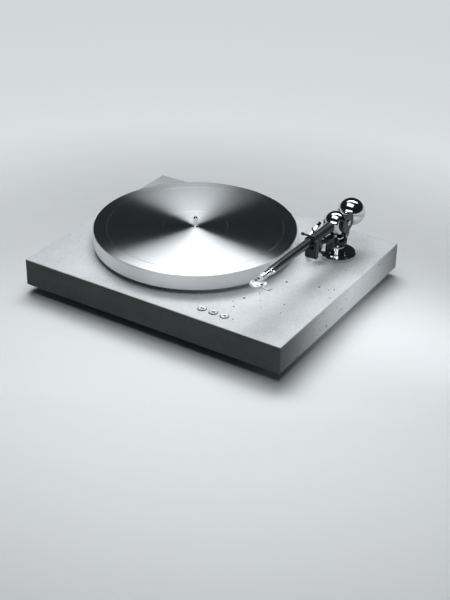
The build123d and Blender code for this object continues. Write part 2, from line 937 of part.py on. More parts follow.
def make_dial():
    """The gripped dial that turns on its shank in the bracket's lug."""
    low = deck + bar_low + dial_lug_thick + running_gap
    high = low + dial_high
    body = rod(dial_radius, low, high)
    body = chamfer(body.edges().group_by(Axis.Z)[-1], dial_bevel)
    for x, y, _ in ring_places(dial_grips, dial_radius, 0, 0, 0):
        body -= rod(dial_grip_radius, high - dial_high * dial_grip_share, high + overrun, x, y)
    body += rod(dial_shank_radius, deck + bar_low, low)
    return on_arm(Pos(dial_right, -dial_station, 0) * body)


def make_bracket_bolt():
    """The bolt that draws the split ring together."""
    ring_radius = pillar_radius + bracket_ring_wall
    spot = Pos(0, ring_radius + lug_long / 2, deck + bracket_low + bracket_high / 2) * Rot(Y=90)
    body = rod(clamp_bolt_radius, -lug_wide / 2, lug_wide / 2)
    body += rod(clamp_head_radius, lug_wide / 2, lug_wide / 2 + clamp_head_high)
    body -= Pos(0, 0, lug_wide / 2 + clamp_head_high) * extrude(
        RegularPolygon(clamp_head_radius * socket_share, 6), -clamp_head_high * socket_deep_share)
    return on_arm(spot * body)


def make_rest():
    """The arm rest: a seat under the collar, a post right of it and a foot screwed to the bar."""
    low = bar_top()
    left = collar_wand_radius + rest_post_gap
    right = left + rest_post_wide
    seat_top = arm_z - collar_wand_radius - free_gap
    front = -rest_station - rest_deep / 2
    back = -rest_station + rest_deep / 2
    post = span(left, right, front, back, low, deck + rest_post_top)
    post = fillet(post.edges().filter_by(Axis.X).group_by(Axis.Z)[-1], rest_deep / 2 - rest_corner)
    seat = span(-rest_seat_left, right, front, back, low, seat_top)
    seat = fillet(seat.edges().filter_by(Axis.Z).group_by(Axis.X)[0], rest_corner)
    foot = span(-bar_wide / 2, bar_wide / 2, front, -rest_screw_station + rest_foot_past_screw,
                low, low + rest_foot_thick)
    body = post + seat + foot
    body -= rod(rest_screw_radius + seat_gap, low - overrun, low + rest_foot_thick + overrun, 0,
                -rest_screw_station)
    body -= rod(thumb_shank_radius + seat_gap, low - overrun, low + thumb_in_rest + seat_gap, 0,
                -rest_station)
    return on_arm(body)


def make_rest_screw():
    """The round screw that holds the foot of the arm rest to the bar."""
    low = bar_top() + rest_foot_thick
    body = rod(rest_screw_radius, low - rest_screw_long, low)
    body += rod(rest_screw_head_radius, low, low + rest_screw_head_high)
    body = fillet(body.edges().group_by(Axis.Z)[-1], rest_screw_head_high * socket_share)
    body -= Pos(0, 0, low + rest_screw_head_high) * extrude(
        RegularPolygon(rest_screw_head_radius * socket_share, 6), -rest_screw_head_high * socket_deep_share)
    return on_arm(Pos(0, -rest_screw_station, 0) * body)


def make_thumbscrew():
    """The gripped screw that holds the rest from below the end of the bar."""
    high = deck + bar_low
    stem_low = high - thumb_high - thumb_stem_long
    body = rod(thumb_radius, high - thumb_high, high)
    for x, y, _ in ring_places(thumb_grips, thumb_radius, 0, 0, 0):
        body -= rod(thumb_grip_radius, high - thumb_high - overrun, high + overrun, x, y)
    stem = rod(thumb_stem_radius, stem_low, high - thumb_high)
    body += chamfer(stem.edges().group_by(Axis.Z)[0], thumb_stem_bevel)
    body += rod(thumb_shank_radius, high, bar_top() + thumb_in_rest)
    return on_arm(Pos(0, -rest_station, 0) * body)


def make_lift_cylinder():
    """The lift's cylinder, standing in the bracket's ear, bored for its rod and for the lever's pin."""
    low = deck + bracket_low
    high = deck + lift_cylinder_top
    body = rod(lift_cylinder_radius, low, high)
    body = chamfer(body.edges().group_by(Axis.Z)[-1], lift_cylinder_bevel)
    body -= rod(lift_rod_radius + running_gap, deck + lift_rod_low - free_gap, high + overrun)
    pin = lever_pin_radius + running_gap
    inner = lift_cylinder_radius - lever_pin_long - seat_gap
    outer = lift_cylinder_radius + overrun
    hole = Rot(Y=90) * Cylinder(pin, outer - inner)
    body -= Pos(-(inner + outer) / 2, 0, deck + lever_height) * hole
    return on_arm(Pos(lift_x, lift_y, 0) * body)


def lift_bar_height():
    """Height of the lift bar's middle with the lift down."""
    return arm_z - boss_radius - lift_drop - lift_bar_radius


def make_lift_bar():
    """A bar bent to an arc about the arm's pivot, on the rod that rises out of the cylinder."""
    start = arm_way - lift_bar_end
    path = CenterArc((0, 0), lift_away, start, lift_bar_end - lift_bar_start)
    path = Pos(0, 0, lift_bar_height()) * path
    body = sweep(Plane(path @ 0, z_dir=path % 0) * Circle(lift_bar_radius), path)
    body += rod(lift_rod_radius, deck + lift_rod_low, lift_bar_height(), lift_x, lift_y)
    for turn in (lift_bar_start, lift_bar_end):
        x = -lift_away * sin(radians(turn))
        y = -lift_away * cos(radians(turn))
        body += Pos(x, y, lift_bar_height()) * Sphere(lift_bar_radius)
    return on_arm(body)


def at_lever(shape):
    """Move a shape from the lever's own frame, whose +X points out of the cylinder's left side."""
    spot = Pos(lift_x - lift_cylinder_radius - free_gap, lift_y, deck + lever_height)
    return on_arm(spot * shape)


def make_lever():
    """The flat lever with its hub and the pin that turns in the cylinder's wall."""
    flat = Rot(Y=-90)
    body = flat * rod(lever_hub_radius, 0, lever_thick)
    long = hypot(lever_back, lever_up)
    middle = Pos(-lever_thick / 2, lever_back / 2, lever_up / 2)
    body += middle * Rot(X=Vector(0, lever_back, lever_up).get_angle(Vector(0, 1, 0))) * Box(
        lever_thick, long, lever_wide)
    body += Rot(Y=90) * rod(lever_pin_radius, 0, lever_pin_long)
    return at_lever(body)


def make_grip():
    """The black grip on the lever's end."""
    turn = Vector(0, lever_back, lever_up).get_angle(Vector(0, 1, 0))
    body = rod(grip_radius, 0, grip_long)
    body = chamfer(body.edges(), grip_bevel)
    return at_lever(Pos(-lever_thick / 2, lever_back, lever_up) * Rot(X=turn) * Rot(X=-90) * body)


def make_yoke():
    """The bridge between the cheeks, with the shaft that turns in the pillar."""
    low = deck + bridge_low
    high = low + bridge_high
    body = block(2 * bridge_half, bridge_deep, low, high)
    body = fillet(body.edges().filter_by(Axis.Y).group_by(Axis.Z)[0], bridge_corner)
    shaft_low = deck + arm_base_high - bearing_high - bearing_inset + free_gap
    body += rod(yoke_shaft_radius, shaft_low, low)
    for hole in cheek_screw_holes(seat_gap):
        body -= hole
    return on_arm(body)


def cheek_screw_holes(grow):
    """The two screws of each cheek, or their holes."""
    height = deck + bridge_low + bridge_high / 2 + cheek_edge
    outer = bridge_half + cheek_thick
    shapes = []
    for side in (-1, 1):
        for y in (-cheek_leg_wide / 4, cheek_leg_wide / 4):
            shapes.append(Pos(side * outer, y, height) * Rot(Y=90 * side) * screw(cheek_screw, grow))
    return shapes


def make_cheek(side, radius):
    """A round cheek on a leg, which carries one end of the arm's level axle."""
    drop = arm_z - deck - bridge_low - cheek_edge
    outline = Circle(radius) + Pos(side * drop / 2, 0) * Rectangle(drop, cheek_leg_wide)
    body = extrude(outline, cheek_thick)
    body = fillet(body.faces().sort_by(Axis.Z)[-1].outer_wire().edges(), cheek_edge)
    body -= rod(pivot_screw_radius + seat_gap, -overrun, cheek_thick + overrun)
    body = Pos(side * bridge_half, 0, arm_z) * Rot(Y=90 * side) * body
    for hole in cheek_screw_holes(seat_gap):
        body -= hole
    return on_arm(body)


def make_pivot_screws():
    """The two pivot screws: a slotted cap, a body in the cheek and a pin in the front ball."""
    outer = bridge_half + cheek_thick
    body = rod(pivot_cap_radius, outer, outer + pivot_cap_high)
    body = chamfer(body.edges().group_by(Axis.Z)[-1], pivot_cap_bevel)
    body += rod(pivot_screw_radius, bridge_half, outer)
    body += rod(pivot_pin_radius, bridge_half - free_gap - pivot_pin_long, bridge_half)
    top = outer + pivot_cap_high
    body -= block(cap_slot_wide, 3 * pivot_cap_radius, top - cap_slot_deep, top + overrun)
    return [on_arm(Pos(0, 0, arm_z) * Rot(Y=90 * side) * body) for side in (-1, 1)]


def make_front_ball():
    """The front ball: flat on the right for the outer cheek, with a slot on the left for the inner one."""
    body = Pos(0, -front_ball_ahead, arm_z) * Sphere(front_ball_radius)
    slab = bridge_half - free_gap
    around = 2 * front_ball_radius
    body -= span(slab, around, -around, around, arm_z - around, arm_z + around)
    cap_end = bridge_half + cheek_thick + pivot_cap_high + free_gap
    half = inner_cheek_radius + free_gap
    body -= span(-cap_end, -slab, -half, half, arm_z - around, arm_z)
    body -= across_arm(half, -cap_end, -slab)
    body -= across_arm(pivot_cap_radius + free_gap, -around, -cap_end)
    pin_end = slab - pivot_pin_long - free_gap
    for pin in ((-slab - overrun, -pin_end), (pin_end, slab + overrun)):
        body -= across_arm(pivot_pin_radius + running_gap, pin[0], pin[1])
    front = front_ball_ahead + front_ball_radius
    reach = front_ball_ahead + (front_ball_radius ** 2 - boss_radius ** 2) ** 0.5
    body -= along_arm(boss_radius + seat_gap, reach - ball_socket_deep, front + overrun)
    back = front_ball_ahead - front_ball_radius
    body -= along_arm(stub_radius + seat_gap, back - overrun, back + stub_in_ball)
    return on_arm(body)


def boss_back():
    """Where the boss sits in the front ball, ahead of the pivot."""
    reach = (front_ball_radius ** 2 - boss_radius ** 2) ** 0.5
    return front_ball_ahead + reach - ball_socket_deep


def make_stub():
    """The rear stub for the counterweight."""
    back = front_ball_ahead - front_ball_radius + stub_in_ball
    return on_arm(along_arm(stub_radius, -stub_end, back))


def make_counterweight():
    """The rear ball with a blind bore from the front and a hole for its set screw."""
    body = Pos(0, weight_behind, arm_z) * Sphere(weight_radius)
    body -= along_arm(stub_radius + running_gap, -stub_end - weight_bore_past, 0)
    body -= rod(weight_screw_radius + seat_gap, arm_z - weight_radius - overrun,
                arm_z - stub_radius, 0, weight_behind)
    return on_arm(body)


def make_weight_screw():
    """The set screw under the counterweight."""
    low = arm_z - weight_radius + weight_screw_sunk
    body = rod(weight_screw_radius, low, low + weight_screw_long)
    body -= Pos(0, 0, low) * extrude(
        RegularPolygon(weight_screw_radius * socket_share, 6), weight_screw_radius)
    return on_arm(Pos(0, weight_behind, 0) * body)


def make_boss():
    """The thick black root of the wand."""
    body = along_arm(boss_radius, boss_back(), boss_front, boss_front_radius)
    body -= along_arm(spigot_radius + seat_gap, boss_front - spigot_long, boss_front + overrun)
    return on_arm(body)


def make_wand_collar():
    """The black ring where the wand meets its root."""
    body = along_arm(collar_wand_radius, boss_front, boss_front + collar_wand_long)
    body = chamfer(body.edges(), collar_wand_bevel)
    body -= along_arm(wand_radius + seat_gap, boss_front - overrun, boss_front + collar_wand_long + overrun)
    middle = boss_front + collar_wand_long / 2
    body -= across_arm(knob_bar_radius + seat_gap, -2 * collar_wand_radius, 2 * collar_wand_radius,
                       middle, knob_bar_height)
    return on_arm(body)


def make_knob():
    """The bar across the top of the collar, with a round head at its left end."""
    middle = boss_front + collar_wand_long / 2
    body = across_arm(knob_bar_radius, -knob_bar_left, knob_bar_right, middle, knob_bar_height)
    body = fillet(body.edges().group_by(Axis.X)[-1], knob_bar_radius / 3)
    far = -knob_bar_left - knob_head_long
    head = across_arm(knob_head_radius, far, -knob_bar_left, middle, knob_bar_height)
    body += fillet(head.edges(), knob_head_fillet)
    return on_arm(body)


def make_wand():
    """The tapered tube, with a spigot at its back and a straight stretch under the collar."""
    straight = boss_front + collar_wand_long + free_gap
    body = along_arm(wand_radius, boss_front, straight)
    body += along_arm(wand_radius, straight, wand_front, wand_front_radius)
    body += along_arm(spigot_radius, boss_front - spigot_long + free_gap, boss_front)
    body -= along_arm(wand_bore_radius, boss_front - spigot_long - overrun, wand_front + overrun)
    return on_arm(body)


def make_neck():
    """The polished ferrule and the neck that carries the headshell."""
    body = along_arm(wand_bore_radius - seat_gap, wand_front - neck_plug_long, wand_front)
    ring = along_arm(neck_ring_radius, wand_front, wand_front + neck_ring_long)
    body += chamfer(ring.edges(), neck_ring_radius / 10)
    body += along_arm(neck_radius, wand_front + neck_ring_long, neck_front)
    middle = wand_front + neck_ring_long / 2
    body -= across_arm(clamp_radius + seat_gap, clamp_in, 2 * neck_ring_radius, middle)
    return on_arm(body)


def make_clamp_screw():
    """The small bright screw on the right of the ferrule."""
    middle = wand_front + neck_ring_long / 2
    body = across_arm(clamp_radius, clamp_in, clamp_out, middle)
    return on_arm(fillet(body.edges().group_by(Axis.X)[-1], clamp_radius / 4))


def at_headshell(shape):
    """Move a shape from the headshell's own frame, in which it points to -Y, to its place on the arm."""
    spot = Location((headshell_right, -headshell_middle, arm_z - headshell_below), (0, 0, -headshell_turn))
    return on_arm(spot * shape)


def make_headshell():
    """A rounded plate with two cartridge holes and a round sleeve that holds the neck."""
    half = headshell_wide / 2
    nose = half - headshell_nose
    front = -headshell_long / 2
    back = headshell_long / 2
    side = front + headshell_nose
    outline = Polyline((-half, back), (half, back), (half, side), (nose, front), (-nose, front),
                       (-half, side), close=True)
    plate = extrude(make_face(outline), -headshell_thick)
    plate = fillet(plate.edges().filter_by(Axis.Z), headshell_corner)
    for side in (-1, 1):
        x = side * cartridge_spacing / 2
        plate -= rod(cartridge_hole_radius, -headshell_thick - overrun, overrun, x, -cartridge_ahead)
    plate -= finger_root(seat_gap)
    sleeve = on_arm(along_arm(socket_radius, neck_front - socket_long, neck_front))
    bore = on_arm(along_arm(neck_radius + seat_gap, neck_front - socket_long - overrun, neck_front))
    return at_headshell(plate) + sleeve - bore


def finger_root(grow=0):
    """The finger lift's straight root in the plate's side, or its hole."""
    half = headshell_wide / 2
    spot = Pos(half - finger_out / 4, finger_back, -headshell_thick / 2) * Rot(Y=90)
    return spot * Cylinder(finger_rod_radius + grow, finger_out / 2 + 2 * grow)


def make_finger_lift():
    """The finger lift: a thin bar out of the plate's right side that turns up at its tip."""
    half = headshell_wide / 2
    start = half - finger_out / 2
    height = -headshell_thick / 2
    points = [
        (start, finger_back, height),
        (half + finger_out, finger_back, height),
        (half + finger_out + finger_tip_out, finger_back, height + finger_tip_rise),
    ]
    path = FilletPolyline(*points, radius=finger_bend_radius)
    body = sweep(Plane(path @ 0, z_dir=path % 0) * Circle(finger_rod_radius), path)
    return at_headshell(body)


def save(name, shape):
    """Write one piece, or a group of alike pieces, to its own file."""
    if isinstance(shape, list):
        solids = [solid for piece in shape for solid in piece.solids()]
        shape = Compound(children=solids) if len(solids) > 1 else solids[0]
    export_step(shape, f"parts/{name}.step")


pieces = {
    "plinth": make_plinth(),
    "bottom_plate": make_bottom_plate(),
    "plate_screws": screws(plate_screw, plate_screw_places(), upward=True),
    "feet": make_feet(),
    "foot_pads": make_foot_pads(),
    "bearing_housing": make_bearing_housing(),
    "bearing_bushes": make_bushes(),
    "housing_screws": screws(housing_screw, housing_screw_places()),
    "platter_spindle": make_spindle(),
    "sub_platter": make_sub_platter(),
    "platter": make_platter(),
    "motor_plate": make_motor_plate(),
    "motor_can": make_motor(),
    "motor_screws": screws(motor_screw, motor_plate_screw_places() + motor_can_screw_places()),
    "motor_pulley": make_pulley(),
    "drive_belt": make_belt(),
    "button_sleeves": make_sleeves(),
    "control_board": make_board(),
    "board_posts": make_board_posts(),
    "status_light": make_led(),
    "socket_panel": make_panel(),
    "panel_screws": [Location(place) * Rot(X=-90) * screw(panel_screw) for place in panel_screw_places()],
    "signal_jacks": make_jacks(),
    "ground_post": make_ground_post(),
    "power_inlet": make_inlet(),
    "arm_base": make_arm_base(),
    "pillar": make_pillar(),
    "arm_nut": make_arm_nut(),
    "height_collar": make_height_collar(),
    "yaw_bearings": make_yaw_bearings(),
    "rest_bracket": make_bracket(),
    "bracket_bolt": make_bracket_bolt(),
    "arm_rest": make_rest(),
    "rest_screw": make_rest_screw(),
    "rest_thumbscrew": make_thumbscrew(),
    "bias_dial": make_dial(),
    "lift_cylinder": make_lift_cylinder(),
    "lift_bar": make_lift_bar(),
    "cue_lever": make_lever(),
    "lever_grip": make_grip(),
    "arm_yoke": make_yoke(),
    "cheek_left": make_cheek(-1, inner_cheek_radius),
    "cheek_right": make_cheek(1, cheek_radius),
    "cheek_screws": [on_arm(shape) for shape in cheek_screw_holes(0)],
    "pivot_screws": make_pivot_screws(),
    "front_ball": make_front_ball(),
    "rear_stub": make_stub(),
    "counterweight": make_counterweight(),
    "weight_screw": make_weight_screw(),
    "arm_boss": make_boss(),
    "wand_collar": make_wand_collar(),
    "collar_knob": make_knob(),
    "arm_wand": make_wand(),
    "arm_neck": make_neck(),
    "clamp_screw": make_clamp_screw(),
    "headshell": make_headshell(),
    "finger_lift": make_finger_lift(),
}
for name, x in zip(button_names, button_xs):
    pieces[name] = make_button(x)

for name, shape in pieces.items():
    save(name, shape)
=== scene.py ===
# %% [markdown]
# # A record player, dressed in Blender
#
# The solids of this record player come from a CAD model. Each one is a node, and each node rides on a body
# that can move. This lesson gives them their finishes, casts the pits into the concrete, prints the marks on
# the buttons, adds two screws and two coloured rings, and lights the whole on a pale studio floor.

# %% Load the solids
import bpy
import bmesh
import math
import random
from mathutils import Matrix, Vector


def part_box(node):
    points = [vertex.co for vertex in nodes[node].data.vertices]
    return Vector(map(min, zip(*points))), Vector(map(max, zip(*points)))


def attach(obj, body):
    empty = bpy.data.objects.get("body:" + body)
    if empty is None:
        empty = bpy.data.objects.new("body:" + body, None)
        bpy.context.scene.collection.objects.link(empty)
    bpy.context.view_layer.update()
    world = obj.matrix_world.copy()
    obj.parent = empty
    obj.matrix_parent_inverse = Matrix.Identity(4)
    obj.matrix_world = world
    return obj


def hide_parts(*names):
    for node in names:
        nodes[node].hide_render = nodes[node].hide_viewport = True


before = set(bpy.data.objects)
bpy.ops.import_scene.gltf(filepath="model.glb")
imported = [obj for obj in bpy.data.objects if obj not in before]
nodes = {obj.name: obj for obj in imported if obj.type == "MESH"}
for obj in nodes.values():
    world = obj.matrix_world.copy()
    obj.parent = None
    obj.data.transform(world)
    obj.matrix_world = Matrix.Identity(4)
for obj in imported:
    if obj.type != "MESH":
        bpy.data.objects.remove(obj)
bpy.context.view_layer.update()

# %% [markdown]
# ## The camera
#
# The photograph was taken from above the right front corner. A camera was fitted to the plinth's corners and the
# platter's ellipse, measured in pixels. It gives the two angles, a slight roll, the lens in pixels and the place.
# We rebuild that camera from these values, because a camera that is only turned by eye never matches every edge.

# %% Camera from the fitted values
mm = 0.001
camera_turn = math.radians(31.781)
camera_rise = math.radians(30.423)
camera_roll = math.radians(1.089)
lens_pixels = 1282.02
image_high_pixels = 600
sensor_wide = 36
optical_axis_row = 296.5
camera_right = 306.987 * mm
camera_up = -57.230 * mm
camera_away = 1970.703 * mm
clip_near = 0.05
clip_far = 60
plinth_low, plinth_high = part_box("plinth")
plinth_corner = Vector((plinth_low.x, plinth_low.y, plinth_high.z))
print("every distance is measured from the corner at", [round(v, 3) for v in plinth_corner])

# %% Which way the camera looks, and where it stands
back = Vector((math.sin(camera_turn) * math.cos(camera_rise),
               -math.cos(camera_turn) * math.cos(camera_rise),
               math.sin(camera_rise)))
level_right = Vector((0, 0, 1)).cross(back).normalized()
level_up = back.cross(level_right)
right = level_right * math.cos(camera_roll) + level_up * math.sin(camera_roll)
up = level_up * math.cos(camera_roll) - level_right * math.sin(camera_roll)
camera_place = plinth_corner + right * camera_right + up * camera_up + back * camera_away
print("camera at", [round(v, 3) for v in camera_place])

# %% The camera itself
bpy.ops.object.camera_add()
camera = bpy.context.object
camera.name = "camera"
turn = Matrix((right, up, back)).transposed().to_4x4()
camera.matrix_world = Matrix.Translation(camera_place) @ turn
camera.data.sensor_width = sensor_wide
camera.data.lens = lens_pixels / image_high_pixels * sensor_wide
camera.data.shift_y = (optical_axis_row - image_high_pixels / 2) / image_high_pixels
camera.data.clip_start = clip_near
camera.data.clip_end = clip_far
bpy.context.scene.camera = camera
print("lens", round(camera.data.lens, 2), "mm")

# %% [markdown]
# ## Checking the camera
#
# A camera is right when known points land on their pixels. A small function does the lens's sum for any point, and
# the two front corners of the plinth are the test. Later it tells where small pieces are seen.

# %% Where a point lands in the picture
image_middle_column = 225


def pixel_of(point):
    """The column and row at which the fitted camera sees a point."""
    seen = camera.matrix_world.inverted() @ Vector(point)
    return (round(image_middle_column - lens_pixels * seen.x / seen.z, 1),
            round(optical_axis_row + lens_pixels * seen.y / seen.z, 1))


print("front right corner lands at", pixel_of((plinth_high.x, plinth_low.y, plinth_high.z)), "wanted (280.9, 347.7)")
print("front left corner lands at", pixel_of(plinth_corner), "wanted (25.1, 259.3)")

# %% [markdown]
# ## The floor
#
# The record player stands on a plain pale floor. One large flat sheet is enough: a camera low over the floor sees
# its far edge, and there the pale room takes over.

# %% A pale floor
floor_wide = 24
bpy.ops.mesh.primitive_plane_add(size=floor_wide, location=(0, 0, 0))
floor = bpy.context.object
floor.name = "studio_floor"
print("floor", floor_wide, "m wide")

# %% [markdown]
# ## The light
#
# A wide softbox hangs over the record player, half a metre behind it, and tips towards its front. It lights the
# concrete, leaves the front face dark and throws a soft shadow forward. Metal sees this light as a long strip, whose
# ends set how wide the platter's bright wedges open, so the softbox and the strip are two lamps, and each can be set
# alone. A lamp overhead adds light at the front and the pale patch on each ball. A small lamp with a grid picks out
# the middle of the right face. A reflector near the camera is seen only in metal: it gives the balls their lower
# band and the arm's base its bright streak.

# %% Soft lights
behind = Vector((-math.sin(camera_turn), math.cos(camera_turn), 0))
sideways = Vector((math.cos(camera_turn), math.sin(camera_turn), 0))
lamp_colour = (0.93, 0.97, 1.0)


def soft_light(name, place, wide, deep, watts, aim, spread=180, diffuse=True, glossy=True):
    """A rectangular lamp that faces a point. A spread under 180 degrees is a grid on its front."""
    bpy.ops.object.light_add(type="AREA", location=place)
    lamp = bpy.context.object
    lamp.name = name
    lamp.data.color = lamp_colour
    lamp.data.shape = "RECTANGLE"
    lamp.data.size = wide
    lamp.data.size_y = deep
    lamp.data.energy = watts
    lamp.data.spread = math.radians(spread)
    lamp.rotation_euler = (Vector(aim) - Vector(place)).to_track_quat("-Z", "Y").to_euler()
    lamp.visible_diffuse = diffuse
    lamp.visible_glossy = glossy
    print(name, "at", [round(v, 2) for v in place], watts, "W")


soft_light("softbox", behind * 0.55 - sideways * 0.1 + Vector((0, 0, 1.1)), wide=1.3, deep=0.5, watts=5.9,
           aim=behind * -0.72, spread=88, glossy=False)
soft_light("strip", sideways * 0.2 + behind * 0.4 + Vector((0, 0, 0.88)), wide=2.3, deep=0.2, watts=5.1,
           aim=behind * -0.6, spread=78, diffuse=False)
soft_light("overhead", Vector((0.08, -0.1, 0.95)), wide=0.8, deep=0.42, watts=2.8, aim=(0.08, -0.1, 0))
soft_light("face_lamp", Vector((0.6, 0.06, 0.12)), wide=0.2, deep=0.15, watts=0.11, aim=(0.227, 0.03, 0.03),
           spread=45, glossy=False)
soft_light("reflector", -behind * 0.8 - sideways * 0.25 + Vector((0, 0, 0.55)), wide=1.1, deep=0.3, watts=2.5,
           aim=(0.1, 0, 0.1), diffuse=False)

# %% [markdown]
# ## Small effects that many finishes share
#
# Real finishes are never even. Cast stone is cloudy, turned metal keeps the lathe's marks, and polished metal
# carries faint smears. Each effect becomes a node group with named inputs, built once, and every material places
# it with its own numbers.

# %% Starting a node group
def start_group(name, inputs, outputs):
    """A shader node group with its sockets. Inputs give a name and a number, or a name and None for a vector."""
    group = bpy.data.node_groups.new(name, "ShaderNodeTree")
    for label, value in inputs:
        kind = "NodeSocketVector" if value is None else "NodeSocketFloat"
        socket = group.interface.new_socket(label, in_out="INPUT", socket_type=kind)
        if value is not None:
            socket.default_value = value
    for label in outputs:
        group.interface.new_socket(label, in_out="OUTPUT", socket_type="NodeSocketFloat")
    return group, group.nodes.new("NodeGroupInput"), group.nodes.new("NodeGroupOutput")


# %% Single nodes: a sum, a noise, a range and a mix of two colours
def feed(tree, value, socket):
    """Give a socket a number, three numbers for a colour, or the output of another node."""
    if isinstance(value, bpy.types.NodeSocket):
        tree.links.new(value, socket)
    elif socket.type == "RGBA":
        socket.default_value = (*value, 1)
    else:
        socket.default_value = value


def math_node(tree, kind, *values):
    """A Math node's result, from one or two numbers or outputs."""
    node = tree.nodes.new("ShaderNodeMath")
    node.operation = kind
    for slot, value in enumerate(values):
        feed(tree, value, node.inputs[slot])
    return node.outputs[0]


def noise_node(tree, vector, scale, detail=2.0, dimensions="3D"):
    """A noise texture's grey value, from 0 to 1."""
    node = tree.nodes.new("ShaderNodeTexNoise")
    node.noise_dimensions = dimensions
    feed(tree, detail, node.inputs["Detail"])
    feed(tree, scale, node.inputs["Scale"])
    feed(tree, vector, node.inputs["W" if dimensions == "1D" else "Vector"])
    return node.outputs["Fac"]


def range_node(tree, value, low, high, new_low, new_high, soft=False):
    """A Map Range node that stays between its new ends. A soft one eases in and out."""
    node = tree.nodes.new("ShaderNodeMapRange")
    if soft:
        node.interpolation_type = "SMOOTHSTEP"
    for label, source in (("Value", value), ("From Min", low), ("From Max", high), ("To Min", new_low),
                          ("To Max", new_high)):
        feed(tree, source, node.inputs[label])
    return node.outputs["Result"]


def mix_colours(tree, share, first, second):
    """Two colours mixed by a grey value. Each is three numbers or the output of another node."""
    node = tree.nodes.new("ShaderNodeMix")
    node.data_type = "RGBA"
    for label, source in (("Factor", share), ("A", first), ("B", second)):
        feed(tree, source, node.inputs[label])
    return node.outputs["Result"]


# %% [markdown]
# ## Clouds
#
# Cast stone, plated metal and moulded rubber are all a little darker in some places than in others. Two noise
# textures do this, one broad and one fine, and a number says how much of the fine one is mixed in.

# %% Cloudiness: broad and fine spots together
cloud_range = (0.3, 0.7)
cloud_group, cloud_in, cloud_out = start_group(
    "Cloudy surface", [("Vector", None), ("Broad Scale", 20), ("Fine Scale", 400), ("Fine Share", 0.4)], ["Value"])
broad = noise_node(cloud_group, cloud_in.outputs["Vector"], cloud_in.outputs["Broad Scale"], detail=4)
fine = noise_node(cloud_group, cloud_in.outputs["Vector"], cloud_in.outputs["Fine Scale"], detail=3)
blend_clouds = cloud_group.nodes.new("ShaderNodeMix")
cloud_group.links.new(cloud_in.outputs["Fine Share"], blend_clouds.inputs["Factor"])
cloud_group.links.new(broad, blend_clouds.inputs["A"])
cloud_group.links.new(fine, blend_clouds.inputs["B"])
cloud_group.links.new(blend_clouds.outputs["Result"], cloud_out.inputs["Value"])
print("most of the clouds' greys lie between", *cloud_range)

# %% [markdown]
# ## Lathe marks
#
# A turning tool leaves rings. A noise texture with one dimension becomes rings when it is fed the distance from the
# axis. The height is added to that distance, so that the marks also run down a side wall, where the distance stays
# the same.

# %% Lathe marks: rings about an upright axis
lathe_group, lathe_in, lathe_out = start_group(
    "Lathe marks", [("Vector", None), ("Rings Per Metre", 3000)], ["Height"])
lathe_parts = lathe_group.nodes.new("ShaderNodeSeparateXYZ")
lathe_group.links.new(lathe_in.outputs["Vector"], lathe_parts.inputs[0])
lathe_far = math_node(lathe_group, "SQRT", math_node(
    lathe_group, "ADD",
    math_node(lathe_group, "MULTIPLY", lathe_parts.outputs["X"], lathe_parts.outputs["X"]),
    math_node(lathe_group, "MULTIPLY", lathe_parts.outputs["Y"], lathe_parts.outputs["Y"])))
lathe_path = math_node(lathe_group, "ADD", lathe_far, lathe_parts.outputs["Z"])
lathe_rings = noise_node(lathe_group, lathe_path, lathe_in.outputs["Rings Per Metre"], detail=1, dimensions="1D")
lathe_group.links.new(lathe_rings, lathe_out.inputs["Height"])
print("lathe marks:", len(lathe_group.nodes), "nodes")

# %% [markdown]
# ## Smears
#
# Hands and polishing cloths leave soft patches on bright metal. They are hardly seen as colour, only as a slightly
# duller reflection, so this group gives a roughness and nothing else.

# %% Smears: soft patches on polished metal
smear_range = (0.45, 0.75)
smear_group, smear_in, smear_out = start_group(
    "Smears", [("Vector", None), ("Scale", 60), ("Amount", 0.05), ("Base", 0.05)], ["Roughness"])
smear_cloud = noise_node(smear_group, smear_in.outputs["Vector"], smear_in.outputs["Scale"], detail=5)
smear_mask = range_node(smear_group, smear_cloud, *smear_range, 0, 1)
smear_rise = math_node(smear_group, "MULTIPLY", smear_mask, smear_in.outputs["Amount"])
smear_group.links.new(math_node(smear_group, "ADD", smear_rise, smear_in.outputs["Base"]),
                      smear_out.inputs["Roughness"])
print("node groups:", [group.name for group in bpy.data.node_groups])

# %% [markdown]
# ## One way to build a material
#
# Every finish starts in the same way: a Principled shader, and the point on the piece from Object coordinates, so
# that no picture has to be wrapped around anything. Small helpers add a group, vary the colour, raise a bump and
# give the finished material to the solids.

# %% A material with its shader and its place in space
def start_material(name, colour, rough, metal=0.0, centre=(0, 0, 0), **sockets):
    """A material, its shader and the point on the piece, measured from a centre in metres."""
    material = bpy.data.materials.new(name)
    material.use_nodes = True
    tree = material.node_tree
    shader = tree.nodes["Principled BSDF"]
    shader.inputs["Base Color"].default_value = (*colour, 1)
    shader.inputs["Roughness"].default_value = rough
    shader.inputs["Metallic"].default_value = metal
    for label, value in sockets.items():
        shader.inputs[label.replace("_", " ")].default_value = value
    place = tree.nodes.new("ShaderNodeTexCoord")
    shift = tree.nodes.new("ShaderNodeMapping")
    shift.inputs["Location"].default_value = [-value for value in centre]
    tree.links.new(place.outputs["Object"], shift.inputs["Vector"])
    return material, tree, shader, shift.outputs["Vector"]


def place_group(tree, group, vector, **numbers):
    """A node group inside a material, with its own numbers."""
    node = tree.nodes.new("ShaderNodeGroup")
    node.node_tree = group
    tree.links.new(vector, node.inputs["Vector"])
    for label, value in numbers.items():
        node.inputs[label.replace("_", " ")].default_value = value
    return node.outputs


def vary_colour(tree, shader, value, dark, pale):
    """Let a grey value run the base colour from dark to pale."""
    tree.links.new(mix_colours(tree, value, dark, pale), shader.inputs["Base Color"])


